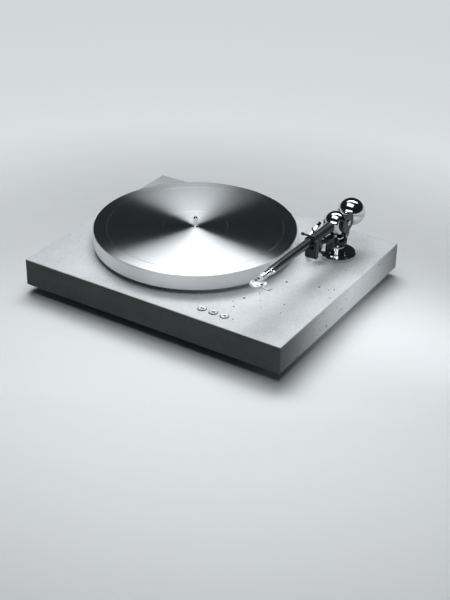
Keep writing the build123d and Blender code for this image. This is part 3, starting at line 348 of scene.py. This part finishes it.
def bump(tree, shader, height, metres, strength=1.0):
    """A Bump node whose height of 1 stands that many metres tall."""
    node = tree.nodes.new("ShaderNodeBump")
    node.inputs["Strength"].default_value = strength
    node.inputs["Distance"].default_value = metres
    tree.links.new(height, node.inputs["Height"])
    tree.links.new(node.outputs["Normal"], shader.inputs["Normal"])


def finish(material, *names):
    """Give a material to CAD nodes, in their own material slots."""
    for name in names:
        nodes[name].data.materials.clear()
        nodes[name].data.materials.append(material)
    print(material.name, "on", ", ".join(names))


# %% [markdown]
# ## How a new piece joins the others
#
# A piece is modelled where it is easy to model. Before it is handed over, its place, turn and scale go into its mesh,
# so that its object sits at the origin as the solids' objects do, and it is told which body carries it.

# %% Helpers for new pieces
smooth_below = math.radians(35)


def deselect():
    """Leave nothing selected, in object mode."""
    if bpy.context.object and bpy.context.object.mode != "OBJECT":
        bpy.ops.object.mode_set(mode="OBJECT")
    bpy.ops.object.select_all(action="DESELECT")


def activate(piece):
    """Select one piece alone and make it the active one."""
    deselect()
    piece.select_set(True)
    bpy.context.view_layer.objects.active = piece


def settle(piece, name, body, material):
    """Put the place into the mesh, name the piece and let it ride. Without a material it keeps its own."""
    activate(piece)
    bpy.ops.object.transform_apply(location=True, rotation=True, scale=True)
    piece.name = name
    piece.data.name = name
    if material:
        piece.data.materials.clear()
        piece.data.materials.append(material)
    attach(piece, body)
    print(name, "faces:", len(piece.data.polygons), "size mm:", [round(v / mm, 1) for v in piece.dimensions])


# %% [markdown]
# ## The room
#
# Polished metal shows whatever stands around it. The room is nearly black, which makes the chrome deep and the
# platter's side quarters dark. A black background would look odd behind a pale floor, so the camera sees the world
# pale at every height. Mirrors see that pale tone only low over the horizon, where the floor ends, so that no hard
# edge runs around the balls.

# %% The dark room
room_dark = 0.02
room_pale = 0.035
room_colour = (0.78, 0.92, 1.0)
room_fade = (0.02, 0.24)
horizon_fade = (0.0, 0.14)
background_strength = 0.66
world = bpy.data.worlds.new("studio_room")
bpy.context.scene.world = world
world.use_nodes = True
room = world.node_tree
room.nodes.clear()


def background_node(colour, strength):
    """A Background node. Its strength is a number or another node's output."""
    node = room.nodes.new("ShaderNodeBackground")
    feed(room, colour, node.inputs["Color"])
    feed(room, strength, node.inputs["Strength"])
    return node.outputs[0]


room_way = room.nodes.new("ShaderNodeTexCoord")
room_parts = room.nodes.new("ShaderNodeSeparateXYZ")
room.links.new(room_way.outputs["Generated"], room_parts.inputs[0])
room_high = room_parts.outputs["Z"]
room_ray = room.nodes.new("ShaderNodeLightPath")
mirror_ray = math_node(room, "MAXIMUM", room_ray.outputs["Is Glossy Ray"], room_ray.outputs["Is Transmission Ray"])
low_mirror_ray = math_node(room, "MULTIPLY", mirror_ray, range_node(room, room_high, *horizon_fade, 1, 0, soft=True))
room_choice = room.nodes.new("ShaderNodeMixShader")
room.links.new(math_node(room, "MAXIMUM", room_ray.outputs["Is Camera Ray"], low_mirror_ray),
               room_choice.inputs["Fac"])
room.links.new(background_node(room_colour, range_node(room, room_high, *room_fade, room_pale, room_dark, soft=True)),
               room_choice.inputs[1])
room.links.new(background_node(lamp_colour, background_strength), room_choice.inputs[2])
room_out = room.nodes.new("ShaderNodeOutputWorld")
room.links.new(room_choice.outputs[0], room_out.inputs[0])
bpy.context.scene.view_settings.view_transform = "Standard"
print("world nodes:", len(room.nodes))

# %% [markdown]
# ## Cast concrete
#
# The plinth is cast in a smooth mould, so its faces are flat and its edges crisp, but the mix leaves clouds of
# lighter and darker grey, specks of sand and small air pits. The clouds and specks belong in the material. They
# read Object coordinates, so they run through the block as they do in stone.

# %% Concrete
sand_colour = (0.26, 0.26, 0.255)
sand_scale = 1500
sand_range = (0.6, 0.72)
sand_strength = 0.5
concrete_rough = 0.72
rough_spread = 0.1
grain_high = 0.25 * mm


def make_concrete(name, dark, pale):
    """Cast concrete: clouds between two greys, dark specks of sand and a fine grain."""
    material, tree, shader, point = start_material(name, pale, concrete_rough, Specular_IOR_Level=0.35)
    clouds = place_group(tree, cloud_group, point, Broad_Scale=11, Fine_Scale=260, Fine_Share=0.35)["Value"]
    cloudy = mix_colours(tree, range_node(tree, clouds, *cloud_range, 0, 1), dark, pale)
    specks = range_node(tree, noise_node(tree, point, sand_scale), *sand_range, 0, sand_strength)
    tree.links.new(mix_colours(tree, specks, cloudy, sand_colour), shader.inputs["Base Color"])
    rough = range_node(tree, clouds, *cloud_range, concrete_rough - rough_spread, concrete_rough + rough_spread)
    tree.links.new(rough, shader.inputs["Roughness"])
    grain = place_group(tree, cloud_group, point, Broad_Scale=180, Fine_Scale=1400, Fine_Share=0.5)["Value"]
    bump(tree, shader, grain, grain_high, strength=0.5)
    return material


concrete = make_concrete("concrete", (0.52, 0.53, 0.535), (0.76, 0.77, 0.775))
# The pits' walls get a much darker concrete colour: painted shade inside the pits.
pit_painted_shade = make_concrete("pit_painted_shade", (0.16, 0.16, 0.16), sand_colour)
finish(concrete, "plinth")

# %% [markdown]
# ## Air pits in the concrete
#
# Bubbles that rest against the mould leave small round holes, wider inside than at the mouth. A painted spot looks
# flat as soon as the light changes, so these are real holes: lumpy little balls are set just under the surface, and
# a Boolean modifier takes them out of a copy of the plinth. The largest lie where the photograph shows them, and
# fine ones are scattered with a fixed seed. The balls' much darker material stays behind on the walls of the pits
# as painted shade.

# %% Where the pits lie, in millimetres: two places on the face, then the radius
(left_x, front_y, under_z), (right_x, back_y, top_z) = [
    [value / mm for value in corner] for corner in (plinth_low, plinth_high)]
top_pits = [(142, -21, 2.0), (114, -97, 2.2), (172, -80, 1.5), (190, -7, 1.5), (212, -1, 1.2), (114, -126, 1.3),
            (180, -104, 1.2), (137, -90, 1.0), (126, -73, 1.1), (203, 107, 1.2), (199, 61, 1.1), (148, -107, 0.9),
            (105, -114, 1.0), (218, -27, 1.0), (157, 52, 1.1), (134, -53, 0.9)]
right_pits = [(-4, 28, 1.4), (-48, 21.5, 1.7), (-60, 48.5, 1.1), (-18, 39, 1.2), (-71, 38, 1.0), (-69, 26.5, 1.0),
              (3, 50, 0.9), (44, 51, 0.9)]
pit_sink = 0.35
pit_places = [(Vector((x, y, top_z - pit_sink * radius)), radius) for x, y, radius in top_pits]
pit_places += [(Vector((right_x - pit_sink * radius, y, z)), radius) for y, z, radius in right_pits]
print("pits seen in the photograph:", len(pit_places))

# %% Where fine pits may lie
edge_room = 3
pit_gap = 0.5
niche_room = 12


def middle(box):
    """The middle of a box that is given by its low and its high corner."""
    low, high = box
    return (low + high) / 2


keep_clear = [(middle(box) / mm, reach) for box, reach in (
    (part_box("platter"), 175), (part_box("arm_base"), 36), (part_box("button_33"), 12), (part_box("button_45"), 12),
    (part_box("button_stop"), 12), (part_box("status_light"), 6))]
panel_low, panel_high = [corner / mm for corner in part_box("socket_panel")]
print("no pits near", len(keep_clear), "places on the top, or on the back from x", round(panel_low.x - niche_room),
      "to", round(panel_high.x + niche_room))


def pit_room(point, radius):
    """Whether a pit would keep clear of the pits that are there."""
    return all((point - other).length > radius + other_radius + pit_gap for other, other_radius in pit_places)


def pit_unwanted(face, point):
    """Whether a pit would lie under a piece that stands on the top, or at the niche in the back."""
    if face == "back":
        return panel_low.x - niche_room < point.x < panel_high.x + niche_room
    return face == "top" and any((point - spot).xy.length < reach for spot, reach in keep_clear)


# %% Fine pits, scattered with a fixed seed
chance = random.Random(12)
fine_pit_counts = {"top": 70, "front": 26, "back": 26, "left": 22, "right": 30}
smallest_pit = 0.35
pit_spread = 0.75


def fine_pit(face):
    """A random place on a face of the plinth, and the direction into the block."""
    across = chance.uniform(0, 1)
    along = chance.uniform(0, 1)
    x = left_x + edge_room + across * (right_x - left_x - 2 * edge_room)
    y = front_y + edge_room + along * (back_y - front_y - 2 * edge_room)
    z = under_z + edge_room + along * (top_z - under_z - 2 * edge_room)
    side_y = front_y + edge_room + across * (back_y - front_y - 2 * edge_room)
    return {"top": (Vector((x, y, top_z)), Vector((0, 0, -1))),
            "front": (Vector((x, front_y, z)), Vector((0, 1, 0))),
            "back": (Vector((x, back_y, z)), Vector((0, -1, 0))),
            "left": (Vector((left_x, side_y, z)), Vector((1, 0, 0))),
            "right": (Vector((right_x, side_y, z)), Vector((-1, 0, 0)))}[face]


for face, count in fine_pit_counts.items():
    for _ in range(count):
        point, inward = fine_pit(face)
        radius = smallest_pit + pit_spread * chance.random() ** 3
        centre = point + inward * pit_sink * radius
        if not pit_unwanted(face, point) and pit_room(centre, radius):
            pit_places.append((centre, radius))
print("pits:", len(pit_places))

# %% Lumpy balls for the pits
large_pit = 0.8
deselect()
lumps = []
for centre, radius in pit_places:
    large = radius > large_pit
    bpy.ops.mesh.primitive_ico_sphere_add(subdivisions=3 if large else 2, radius=radius * mm, location=centre * mm)
    lump = bpy.context.object
    for corner in lump.data.vertices:
        corner.co *= chance.uniform(0.94, 1.05) if large else chance.uniform(0.85, 1.1)
    lump.scale = [chance.uniform(0.8, 1.2) for _ in range(3)]
    lumps.append(lump)
deselect()
for lump in lumps:
    lump.select_set(True)
bpy.context.view_layer.objects.active = lumps[0]
bpy.ops.object.join()
joined_lumps = bpy.context.object
bpy.ops.object.transform_apply(location=True, rotation=True, scale=True)
# The lumps carry the dark painted shade, which the Boolean leaves on the pits' walls.
joined_lumps.data.materials.append(pit_painted_shade)
print("faces of the lumps:", len(joined_lumps.data.polygons))

# %% [markdown]
# ## Taking the pits out
#
# A Boolean modifier needs a closed block, so the doubled points of the plinth's copy are merged first. Smoothing
# that runs over the wide flat faces would draw false shadows on them, so they stay flat, and only the walls of the
# pits are smooth.

# %% The cast plinth: a merged copy of the solid with the pits taken out
merge_distance = 0.002 * mm
cast_plinth = bpy.data.objects.new("cast_plinth", nodes["plinth"].data.copy())
bpy.context.scene.collection.objects.link(cast_plinth)
activate(cast_plinth)
bpy.ops.object.mode_set(mode="EDIT")
bpy.ops.mesh.select_all(action="SELECT")
bpy.ops.mesh.remove_doubles(threshold=merge_distance)
bpy.ops.object.mode_set(mode="OBJECT")
pitting = cast_plinth.modifiers.new("pits", "BOOLEAN")
pitting.operation = "DIFFERENCE"
pitting.solver = "EXACT"
pitting.material_mode = "TRANSFER"
pitting.object = joined_lumps
bpy.ops.object.modifier_apply(modifier="pits")
bpy.data.objects.remove(joined_lumps)
pit_slot = cast_plinth.data.materials.find("pit_painted_shade")
for face in cast_plinth.data.polygons:
    face.use_smooth = face.material_index == pit_slot
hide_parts("plinth")
settle(cast_plinth, "cast_plinth", "base", None)

# %% [markdown]
# ## Turned aluminium
#
# The platter is turned on a lathe. Its fine rings throw light sideways out of their grooves, which draws the bright
# bow tie through the spindle and leaves the other two quarters dark. A shader does this with anisotropy and a tangent
# that runs around the axis. Fine rings in the bump break the highlight a little, as a tool's marks do.

# %% Turned aluminium
spindle = middle(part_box("platter_spindle"))
rings_per_metre = 2600
ring_relief = 0.012 * mm


def make_turned(name, colour, rough, anisotropic):
    """Metal turned about the spindle's axis, with a highlight that spreads across the rings."""
    material, tree, shader, point = start_material(name, colour, rough, 1.0, (spindle.x, spindle.y, 0),
                                                  Anisotropic=anisotropic, Anisotropic_Rotation=0.25)
    marks = place_group(tree, lathe_group, point, Rings_Per_Metre=rings_per_metre)
    around = tree.nodes.new("ShaderNodeTangent")
    around.direction_type = "RADIAL"
    around.axis = "Z"
    tree.links.new(around.outputs[0], shader.inputs["Tangent"])
    bump(tree, shader, marks["Height"], ring_relief)
    return material


aluminium_colour = (0.8268, 0.8321, 0.8374)
finish(make_turned("turned_aluminium", aluminium_colour, rough=0.276, anisotropic=1.0), "platter", "motor_plate")
finish(make_turned("turned_pulley", aluminium_colour, rough=0.345, anisotropic=0.5), "motor_pulley")

# %% [markdown]
# ## Polished and plated metal
#
# The balls, the arm's base and the small fittings are polished until they mirror the room. Only faint smears break
# the mirror, so a little roughness that changes from place to place is all they need.

# %% Chrome and polished aluminium
def make_polished(name, colour, rough, smear, scale=45, metal=1.0):
    """Polished or plated metal, whose faint smears are a little rougher."""
    material, tree, shader, point = start_material(name, colour, rough, metal)
    smears = place_group(tree, smear_group, point, Scale=scale, Amount=smear, Base=rough)
    tree.links.new(smears["Roughness"], shader.inputs["Roughness"])
    clouds = place_group(tree, cloud_group, point, Broad_Scale=60, Fine_Scale=900, Fine_Share=0.3)["Value"]
    vary_colour(tree, shader, range_node(tree, clouds, *cloud_range, 0, 1),
                [0.96 * value for value in colour], [min(1, 1.03 * value) for value in colour])
    return material


finish(make_polished("chrome", (0.66, 0.665, 0.675), rough=0.035, smear=0.05), "arm_base", "pillar",
       "height_collar", "lift_cylinder", "cue_lever", "arm_yoke", "pivot_screws", "rear_stub", "clamp_screw",
       "rest_screw", "bias_dial")
finish(make_polished("polished_aluminium", (0.64, 0.645, 0.655), rough=0.045, smear=0.05), "front_ball",
       "counterweight")
finish(make_polished("neck_chrome", (0.84, 0.84, 0.85), rough=0.1, smear=0.05, scale=60), "arm_neck",
       "platter_spindle")

# %% [markdown]
# ## Silver that doesn't mirror
#
# The screws are plain steel and the feet dark aluminium. The buttons, the headshell and the finger lift are silver
# without being mirrors: blasted or lacquered aluminium scatters a part of its light as paint does. So Metallic is
# less than 1 and the roughness is higher, which also keeps these small pieces pale in a dark room.

# %% Silver finishes and screws
finish(make_polished("screw_steel", (0.60, 0.60, 0.61), rough=0.22, smear=0.12, scale=120), "plate_screws",
       "housing_screws", "motor_screws", "panel_screws", "cheek_screws", "weight_screw", "bracket_bolt", "arm_nut",
       "yaw_bearings", "rest_thumbscrew")
finish(make_polished("button_metal", (0.55, 0.555, 0.56), rough=0.4, smear=0.08, scale=150, metal=0.5), "button_33",
       "button_45", "button_stop")
finish(make_polished("satin_silver", (0.80, 0.805, 0.81), rough=0.26, smear=0.08, scale=150, metal=0.6),
       "headshell")
finish(make_polished("bright_silver", (0.90, 0.905, 0.91), rough=0.3, smear=0.08, scale=150, metal=0.3),
       "finger_lift")
finish(make_polished("foot_aluminium", (0.35, 0.35, 0.36), rough=0.3, smear=0.1, scale=80), "feet")

# %% [markdown]
# ## Warm metals
#
# The main bearing inside the plinth is brass with bronze bushes, and the sockets in the back are plated with gold.
# They are polished metal like the others, in other colours, so the same helper makes them.

# %% Brass, bronze and gold
finish(make_polished("brass", (0.72, 0.58, 0.30), rough=0.2, smear=0.12, scale=90), "bearing_housing",
       "board_posts")
finish(make_polished("bronze", (0.62, 0.45, 0.25), rough=0.3, smear=0.12, scale=90), "bearing_bushes")
finish(make_polished("gold_plate", (0.83, 0.65, 0.33), rough=0.1, smear=0.06, scale=90), "signal_jacks",
       "ground_post")

# %% [markdown]
# ## Black finishes
#
# Three blacks stand side by side on the arm. Anodised aluminium is satin, the round cheeks are lacquered and
# reflect like glass, and the wand is carbon fibre. None of them is pure black: each runs between two dark shades,
# and the roughness tells them apart. Moulded plastic and rubber differ only in their numbers.

# %% Anodised, lacquered, moulded and rubber blacks
def make_black(name, dark, pale, rough, metal=0.0, scale=900, relief=0.01 * mm, **sockets):
    """A finish with a fine grain that is barely seen, from a dark to a pale shade of one colour."""
    material, tree, shader, point = start_material(name, pale, rough, metal, **sockets)
    clouds = place_group(tree, cloud_group, point, Broad_Scale=70, Fine_Scale=scale, Fine_Share=0.5)["Value"]
    vary_colour(tree, shader, range_node(tree, clouds, *cloud_range, 0, 1), dark, pale)
    tree.links.new(range_node(tree, clouds, *cloud_range, rough * 0.85, rough * 1.2), shader.inputs["Roughness"])
    bump(tree, shader, clouds, relief)
    return material


finish(make_black("black_anodised", (0.008, 0.008, 0.009), (0.016, 0.016, 0.018), rough=0.38, scale=1600,
                  relief=0.02 * mm, Specular_IOR_Level=0.4),
       "arm_boss", "wand_collar", "collar_knob", "rest_bracket", "arm_rest", "lift_bar")
finish(make_black("black_lacquer", (0.006, 0.006, 0.007), (0.010, 0.010, 0.012), rough=0.07, scale=300,
                  relief=0.002 * mm, Specular_IOR_Level=0.4),
       "cheek_left", "cheek_right", "lever_grip")
finish(make_black("moulded_black", (0.02, 0.02, 0.02), (0.035, 0.035, 0.035), rough=0.5, scale=1200,
                  relief=0.03 * mm),
       "button_sleeves", "power_inlet", "sub_platter")
finish(make_black("rubber", (0.018, 0.018, 0.018), (0.035, 0.035, 0.034), rough=0.8, relief=0.05 * mm),
       "foot_pads", "drive_belt")

# %% [markdown]
# ## Plates, motor and board
#
# The plates below and in the back are painted steel, the motor's can is bare steel and the control board is green.
# All three show a fine even grain, so the helper for the blacks makes them too.

# %% The same grain on the plates, the motor and the board
finish(make_black("black_steel", (0.03, 0.03, 0.031), (0.055, 0.055, 0.056), rough=0.5, scale=1100,
                  relief=0.06 * mm),
       "bottom_plate", "socket_panel")
finish(make_black("motor_steel", (0.34, 0.35, 0.36), (0.42, 0.43, 0.44), rough=0.35, metal=0.6, scale=600),
       "motor_can")
finish(make_black("green_board", (0.025, 0.12, 0.06), (0.045, 0.17, 0.09), rough=0.4, scale=500), "control_board")

# %% [markdown]
# ## Carbon fibre
#
# The wand is wound from flat bundles of fibre that cross over two and under two, which makes a twill. The pattern
# has to follow the wand, so the Mapping node turns and moves the coordinates into the arm's own frame. There the
# angle around the wand and the way along it are counted in bundles, and a step pattern chooses between two blacks.
# The clear resin on top is the shader's coat.

# %% Carbon fibre for the wand
pivot = middle(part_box("pillar"))
arm_axis_high = middle(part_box("counterweight")).z
arm_turn_at_rest = math.radians(-2)
bundle_wide = 1.8 * mm
wand_radius = 6.4 * mm
twill_repeat = 4
twill_over = 2
carbon, carbon_tree, carbon_shader, carbon_point = start_material(
    "carbon_fibre", (0.02, 0.02, 0.022), 0.3, Coat_Weight=1.0, Coat_Roughness=0.05, Specular_IOR_Level=0.3)
carbon_map = carbon_point.node
carbon_map.vector_type = "TEXTURE"
carbon_map.inputs["Location"].default_value = (pivot.x, pivot.y, arm_axis_high)
carbon_map.inputs["Rotation"].default_value = (0, 0, arm_turn_at_rest)
carbon_parts = carbon_tree.nodes.new("ShaderNodeSeparateXYZ")
carbon_tree.links.new(carbon_point, carbon_parts.inputs[0])
wand_angle = math_node(carbon_tree, "ARCTAN2", carbon_parts.outputs["X"], carbon_parts.outputs["Z"])
around_wand = math_node(carbon_tree, "MULTIPLY", wand_angle, wand_radius / bundle_wide)
along_wand = math_node(carbon_tree, "MULTIPLY", carbon_parts.outputs["Y"], 1 / bundle_wide)
step_over = math_node(carbon_tree, "ADD", math_node(carbon_tree, "FLOOR", around_wand),
                      math_node(carbon_tree, "FLOOR", along_wand))
twill = math_node(carbon_tree, "LESS_THAN",
                  math_node(carbon_tree, "FLOORED_MODULO", step_over, twill_repeat), twill_over)
vary_colour(carbon_tree, carbon_shader, twill, (0.008, 0.008, 0.009), (0.018, 0.018, 0.020))
carbon_tree.links.new(range_node(carbon_tree, twill, 0, 1, 0.42, 0.3), carbon_shader.inputs["Roughness"])
finish(carbon, "arm_wand")

# %% [markdown]
# ## The status light
#
# A small lens beside the buttons tells whether the motor has power. It is clear plastic with a milky tint, so light
# goes part of the way through it, and faint clouds keep it from looking like a white dot.

# %% The status light
lens, lens_tree, lens_shader, lens_point = start_material(
    "status_lens", (0.80, 0.85, 0.9), 0.2, IOR=1.45, Transmission_Weight=0.6)
lens_cloud = place_group(lens_tree, cloud_group, lens_point, Broad_Scale=300, Fine_Scale=2000, Fine_Share=0.3)
vary_colour(lens_tree, lens_shader, lens_cloud["Value"], (0.70, 0.76, 0.82), (0.86, 0.9, 0.95))
finish(lens, "status_light")

# %% [markdown]
# ## Marks on the buttons
#
# The buttons carry a small 33, 45 and a square for stop, so that a hand knows which speed it chooses. They are
# printed in dark ink, which stands a few hundredths of a millimetre proud. Blender's own font gives the numbers: a
# text object gets a little thickness and becomes a mesh, whose points are then lifted onto the button's hollow top.
# The square is a small plane with rounded corners, extruded to the same thickness.

# %% Dark ink
ink = make_black("ink", (0.02, 0.02, 0.022), (0.04, 0.04, 0.042), rough=0.6, scale=2200, relief=0.004 * mm,
                 Specular_IOR_Level=0.2)
print("ink:", len(ink.node_tree.nodes), "nodes")

# %% How a mark lies on a button
hollow_deep = 0.25 * mm
hollow_wide = 5.4 * mm
hollow_radius = (hollow_wide ** 2 + hollow_deep ** 2) / (2 * hollow_deep)
print("radius of the hollow in mm:", round(hollow_radius / mm, 1))


def lay_in_hollow(mark, body, button):
    """Bend a flat mark onto a button's hollow top, move it there and let it ride."""
    for corner in mark.data.vertices:
        corner.co.z += (corner.co.x ** 2 + corner.co.y ** 2) / (2 * hollow_radius)
    low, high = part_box(button)
    mark.location = ((low.x + high.x) / 2, (low.y + high.y) / 2, high.z - hollow_deep)
    settle(mark, button.replace("button", "mark"), body, ink)


# %% The numbers
mark_high = 4.8 * mm
mark_thick = 0.12 * mm
text_size = 1.35 * mark_high
stroke_growth = 0.28 * mm
for number, button, body in (("33", "button_33", "key_33"), ("45", "button_45", "key_45")):
    deselect()
    bpy.ops.object.text_add(location=(0, 0, 0))
    mark = bpy.context.object
    mark.data.body = number
    mark.data.align_x = "CENTER"
    mark.data.align_y = "CENTER"
    mark.data.size = text_size
    mark.data.extrude = mark_thick / 2
    mark.data.offset = stroke_growth
    mark.data.resolution_u = 6
    activate(mark)
    bpy.ops.object.convert(target="MESH")
    lay_in_hollow(bpy.context.object, body, button)

# %% The square for stop
square_wide = 0.75 * mark_high
square_corner = 0.35 * mm
deselect()
bpy.ops.mesh.primitive_plane_add(size=square_wide, location=(0, 0, -mark_thick / 2))
mark = bpy.context.object
bpy.ops.object.transform_apply(location=True)
bpy.ops.object.mode_set(mode="EDIT")
bpy.ops.mesh.select_all(action="SELECT")
bpy.ops.mesh.bevel(offset=square_corner, segments=4, affect="VERTICES")
bpy.ops.mesh.select_all(action="SELECT")
bpy.ops.mesh.extrude_region_move(TRANSFORM_OT_translate={"value": (0, 0, mark_thick)})
bpy.ops.mesh.select_all(action="SELECT")
bpy.ops.mesh.normals_make_consistent(inside=False)
bpy.ops.object.mode_set(mode="OBJECT")
lay_in_hollow(mark, "key_stop", "button_stop")

# %% [markdown]
# ## Screws in the headshell
#
# Two small screws hold the headshell's plate, one near each side, and show as dark rings in the photograph. A screw
# head is a short cylinder whose upper edge is rounded. An inset and a small extrusion downwards make the socket.
# One head is modelled, and the other is a copy with its own mesh. The camera's sum shows where both are seen.

# %% The headshell's own frame
shell_turn = Matrix.Rotation(math.radians(-25), 3, "Z")
shell_aside = 1 * mm
shell_reach = 232 * mm
shell_drop = 3.6 * mm
shell_middle = Vector((pivot.x, pivot.y, 0)) + Matrix.Rotation(arm_turn_at_rest, 3, "Z") @ Vector(
    (shell_aside, -shell_reach, arm_axis_high - shell_drop))
print("the headshell's middle is seen at", pixel_of(shell_middle))

# %% Picking the faces that look up
nearly_up = 0.99


def select_top(piece):
    """Select the faces of a piece in edit mode that look straight up, and no others."""
    bpy.ops.mesh.select_all(action="DESELECT")
    form = bmesh.from_edit_mesh(piece.data)
    for face in form.faces:
        face.select_set(face.normal.z > nearly_up)
    bmesh.update_edit_mesh(piece.data)


# %% One screw head
head_radius = 2.0 * mm
head_high = 0.7 * mm
head_sunk = 0.05 * mm
head_rounding = 0.25 * mm
socket_radius = 1.0 * mm
socket_deep = 0.4 * mm
socket_rim = 0.25 * mm
deselect()
bpy.ops.mesh.primitive_cylinder_add(vertices=40, radius=head_radius, depth=head_high,
                                    location=(0, 0, head_high / 2 - head_sunk))
screw = bpy.context.object
bpy.ops.object.transform_apply(location=True)
bpy.ops.object.mode_set(mode="EDIT")
bpy.ops.mesh.select_mode(type="FACE")
select_top(screw)
bpy.ops.mesh.bevel(offset=head_rounding, segments=3, affect="EDGES")
select_top(screw)
bpy.ops.mesh.inset(thickness=head_radius - head_rounding - socket_radius)
bpy.ops.mesh.extrude_region_move(TRANSFORM_OT_translate={"value": (0, 0, -socket_deep)})
bpy.ops.mesh.inset(thickness=socket_rim)
bpy.ops.object.mode_set(mode="OBJECT")
bpy.ops.object.shade_smooth_by_angle(angle=smooth_below)
print("screw head:", len(screw.data.polygons), "faces")

# %% Both screws in their places
black_oxide = make_black("black_oxide", (0.02, 0.02, 0.022), (0.035, 0.035, 0.037), rough=0.45, scale=1500,
                         relief=0.004 * mm, Specular_IOR_Level=0.25)
screw_side = 7.4 * mm
screw_back = 1.8 * mm


def own_copy(piece):
    """A copy of a piece with its own mesh."""
    twin = piece.copy()
    twin.data = piece.data.copy()
    bpy.context.scene.collection.objects.link(twin)
    return twin


for name, head, side in (("shell_screw_left", screw, -screw_side),
                         ("shell_screw_right", own_copy(screw), screw_side)):
    place = shell_middle + shell_turn @ Vector((side, screw_back, 0))
    head.location = place
    settle(head, name, "arm", black_oxide)
    print("seen at", pixel_of(place))

# %% [markdown]
# ## Coloured rings on the signal sockets
#
# Signal sockets come in pairs, and a coloured ring tells the two channels apart: red for the right one, white for
# the left one. A circle is extruded outwards into a flat ring, pulled up to its thickness and rounded with a bevel.
# One ring is modelled, and the other is a copy with its own mesh.

# %% One ring
ring_inside = 4.3 * mm
ring_outside = 5.6 * mm
ring_thick = 0.9 * mm
ring_rounding = 0.25 * mm
deselect()
bpy.ops.mesh.primitive_circle_add(vertices=64, radius=ring_inside, fill_type="NOTHING", location=(0, 0, 0))
ring = bpy.context.object
bpy.ops.object.mode_set(mode="EDIT")
bpy.ops.mesh.select_all(action="SELECT")
bpy.ops.mesh.extrude_edges_move()
bpy.ops.transform.resize(value=[ring_outside / ring_inside] * 3)
bpy.ops.mesh.select_all(action="SELECT")
bpy.ops.mesh.extrude_region_move(TRANSFORM_OT_translate={"value": (0, 0, ring_thick)})
bpy.ops.mesh.select_all(action="SELECT")
bpy.ops.mesh.normals_make_consistent(inside=False)
bpy.ops.object.mode_set(mode="OBJECT")
rounding = ring.modifiers.new("rounding", "BEVEL")
rounding.width = ring_rounding
rounding.segments = 3
rounding.limit_method = "ANGLE"
bpy.ops.object.modifier_apply(modifier="rounding")
bpy.ops.object.shade_smooth_by_angle(angle=smooth_below)
print("ring:", len(ring.data.polygons), "faces")

# %% Both rings on their sockets
jacks = middle(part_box("signal_jacks"))
jack_spacing = 20 * mm
flange_thick = 1.5 * mm
ring_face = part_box("socket_panel")[1].y + flange_thick
for colour_name, piece, side, dark, pale in (
        ("red", ring, -jack_spacing / 2, (0.35, 0.015, 0.015), (0.5, 0.03, 0.03)),
        ("white", own_copy(ring), jack_spacing / 2, (0.62, 0.62, 0.6), (0.75, 0.75, 0.73))):
    piece.rotation_euler = (math.radians(-90), 0, 0)
    piece.location = (jacks.x + side, ring_face, jacks.z)
    plastic = make_black(colour_name + "_plastic", dark, pale, rough=0.35, relief=0.008 * mm)
    settle(piece, "jack_ring_" + colour_name, "base", plastic)

# %% [markdown]
# ## The floor's paint
#
# The camera, and the mirrors that the camera looks at, see a pale floor. For the light that bounces, the floor is
# darker, as a table in a dark room would be, so that the front face stays dark as it is in the photograph. The
# lamps light a round patch that reaches from the object towards the camera. Outside it, emission that only those
# rays see takes over and keeps the background pale. Seen from behind, a soft darker band stays where the lamps end
# and the emission begins. Close to the object the floor is plain paint, which holds its shadow.

# %% Floor finish
floor_pale = 0.8
floor_spread = 0.02
floor_dark = 0.04
glow_from = 0.6
glow_full = 1.18
lit_middle = behind * -0.5
floor_paint, floor_tree, floor_shader, floor_point = start_material(
    "floor_paint", [floor_pale] * 3, 0.6, centre=lit_middle)
floor_cloud = place_group(floor_tree, cloud_group, floor_point, Broad_Scale=0.8, Fine_Scale=40, Fine_Share=0.2)
floor_seen = mix_colours(floor_tree, floor_cloud["Value"], [floor_pale * (1 - floor_spread)] * 3,
                         [floor_pale * (1 + floor_spread)] * 3)
ray = floor_tree.nodes.new("ShaderNodeLightPath")
seen_ray = math_node(floor_tree, "MAXIMUM", ray.outputs["Is Camera Ray"], math_node(
    floor_tree, "MAXIMUM", ray.outputs["Is Glossy Ray"], ray.outputs["Is Transmission Ray"]))
floor_tree.links.new(mix_colours(floor_tree, seen_ray, [floor_dark] * 3, floor_seen),
                     floor_shader.inputs["Base Color"])
floor_far = floor_tree.nodes.new("ShaderNodeVectorMath")
floor_far.operation = "LENGTH"
floor_tree.links.new(floor_point, floor_far.inputs[0])
floor_glow = range_node(floor_tree, floor_far.outputs["Value"], glow_from, glow_full, 0, background_strength,
                        soft=True)
floor_shader.inputs["Emission Color"].default_value = (*lamp_colour, 1)
floor_tree.links.new(math_node(floor_tree, "MULTIPLY", floor_glow, seen_ray),
                     floor_shader.inputs["Emission Strength"])
floor.data.materials.append(floor_paint)
print("the floor glows from", glow_from, "m, fully from", glow_full, "m")
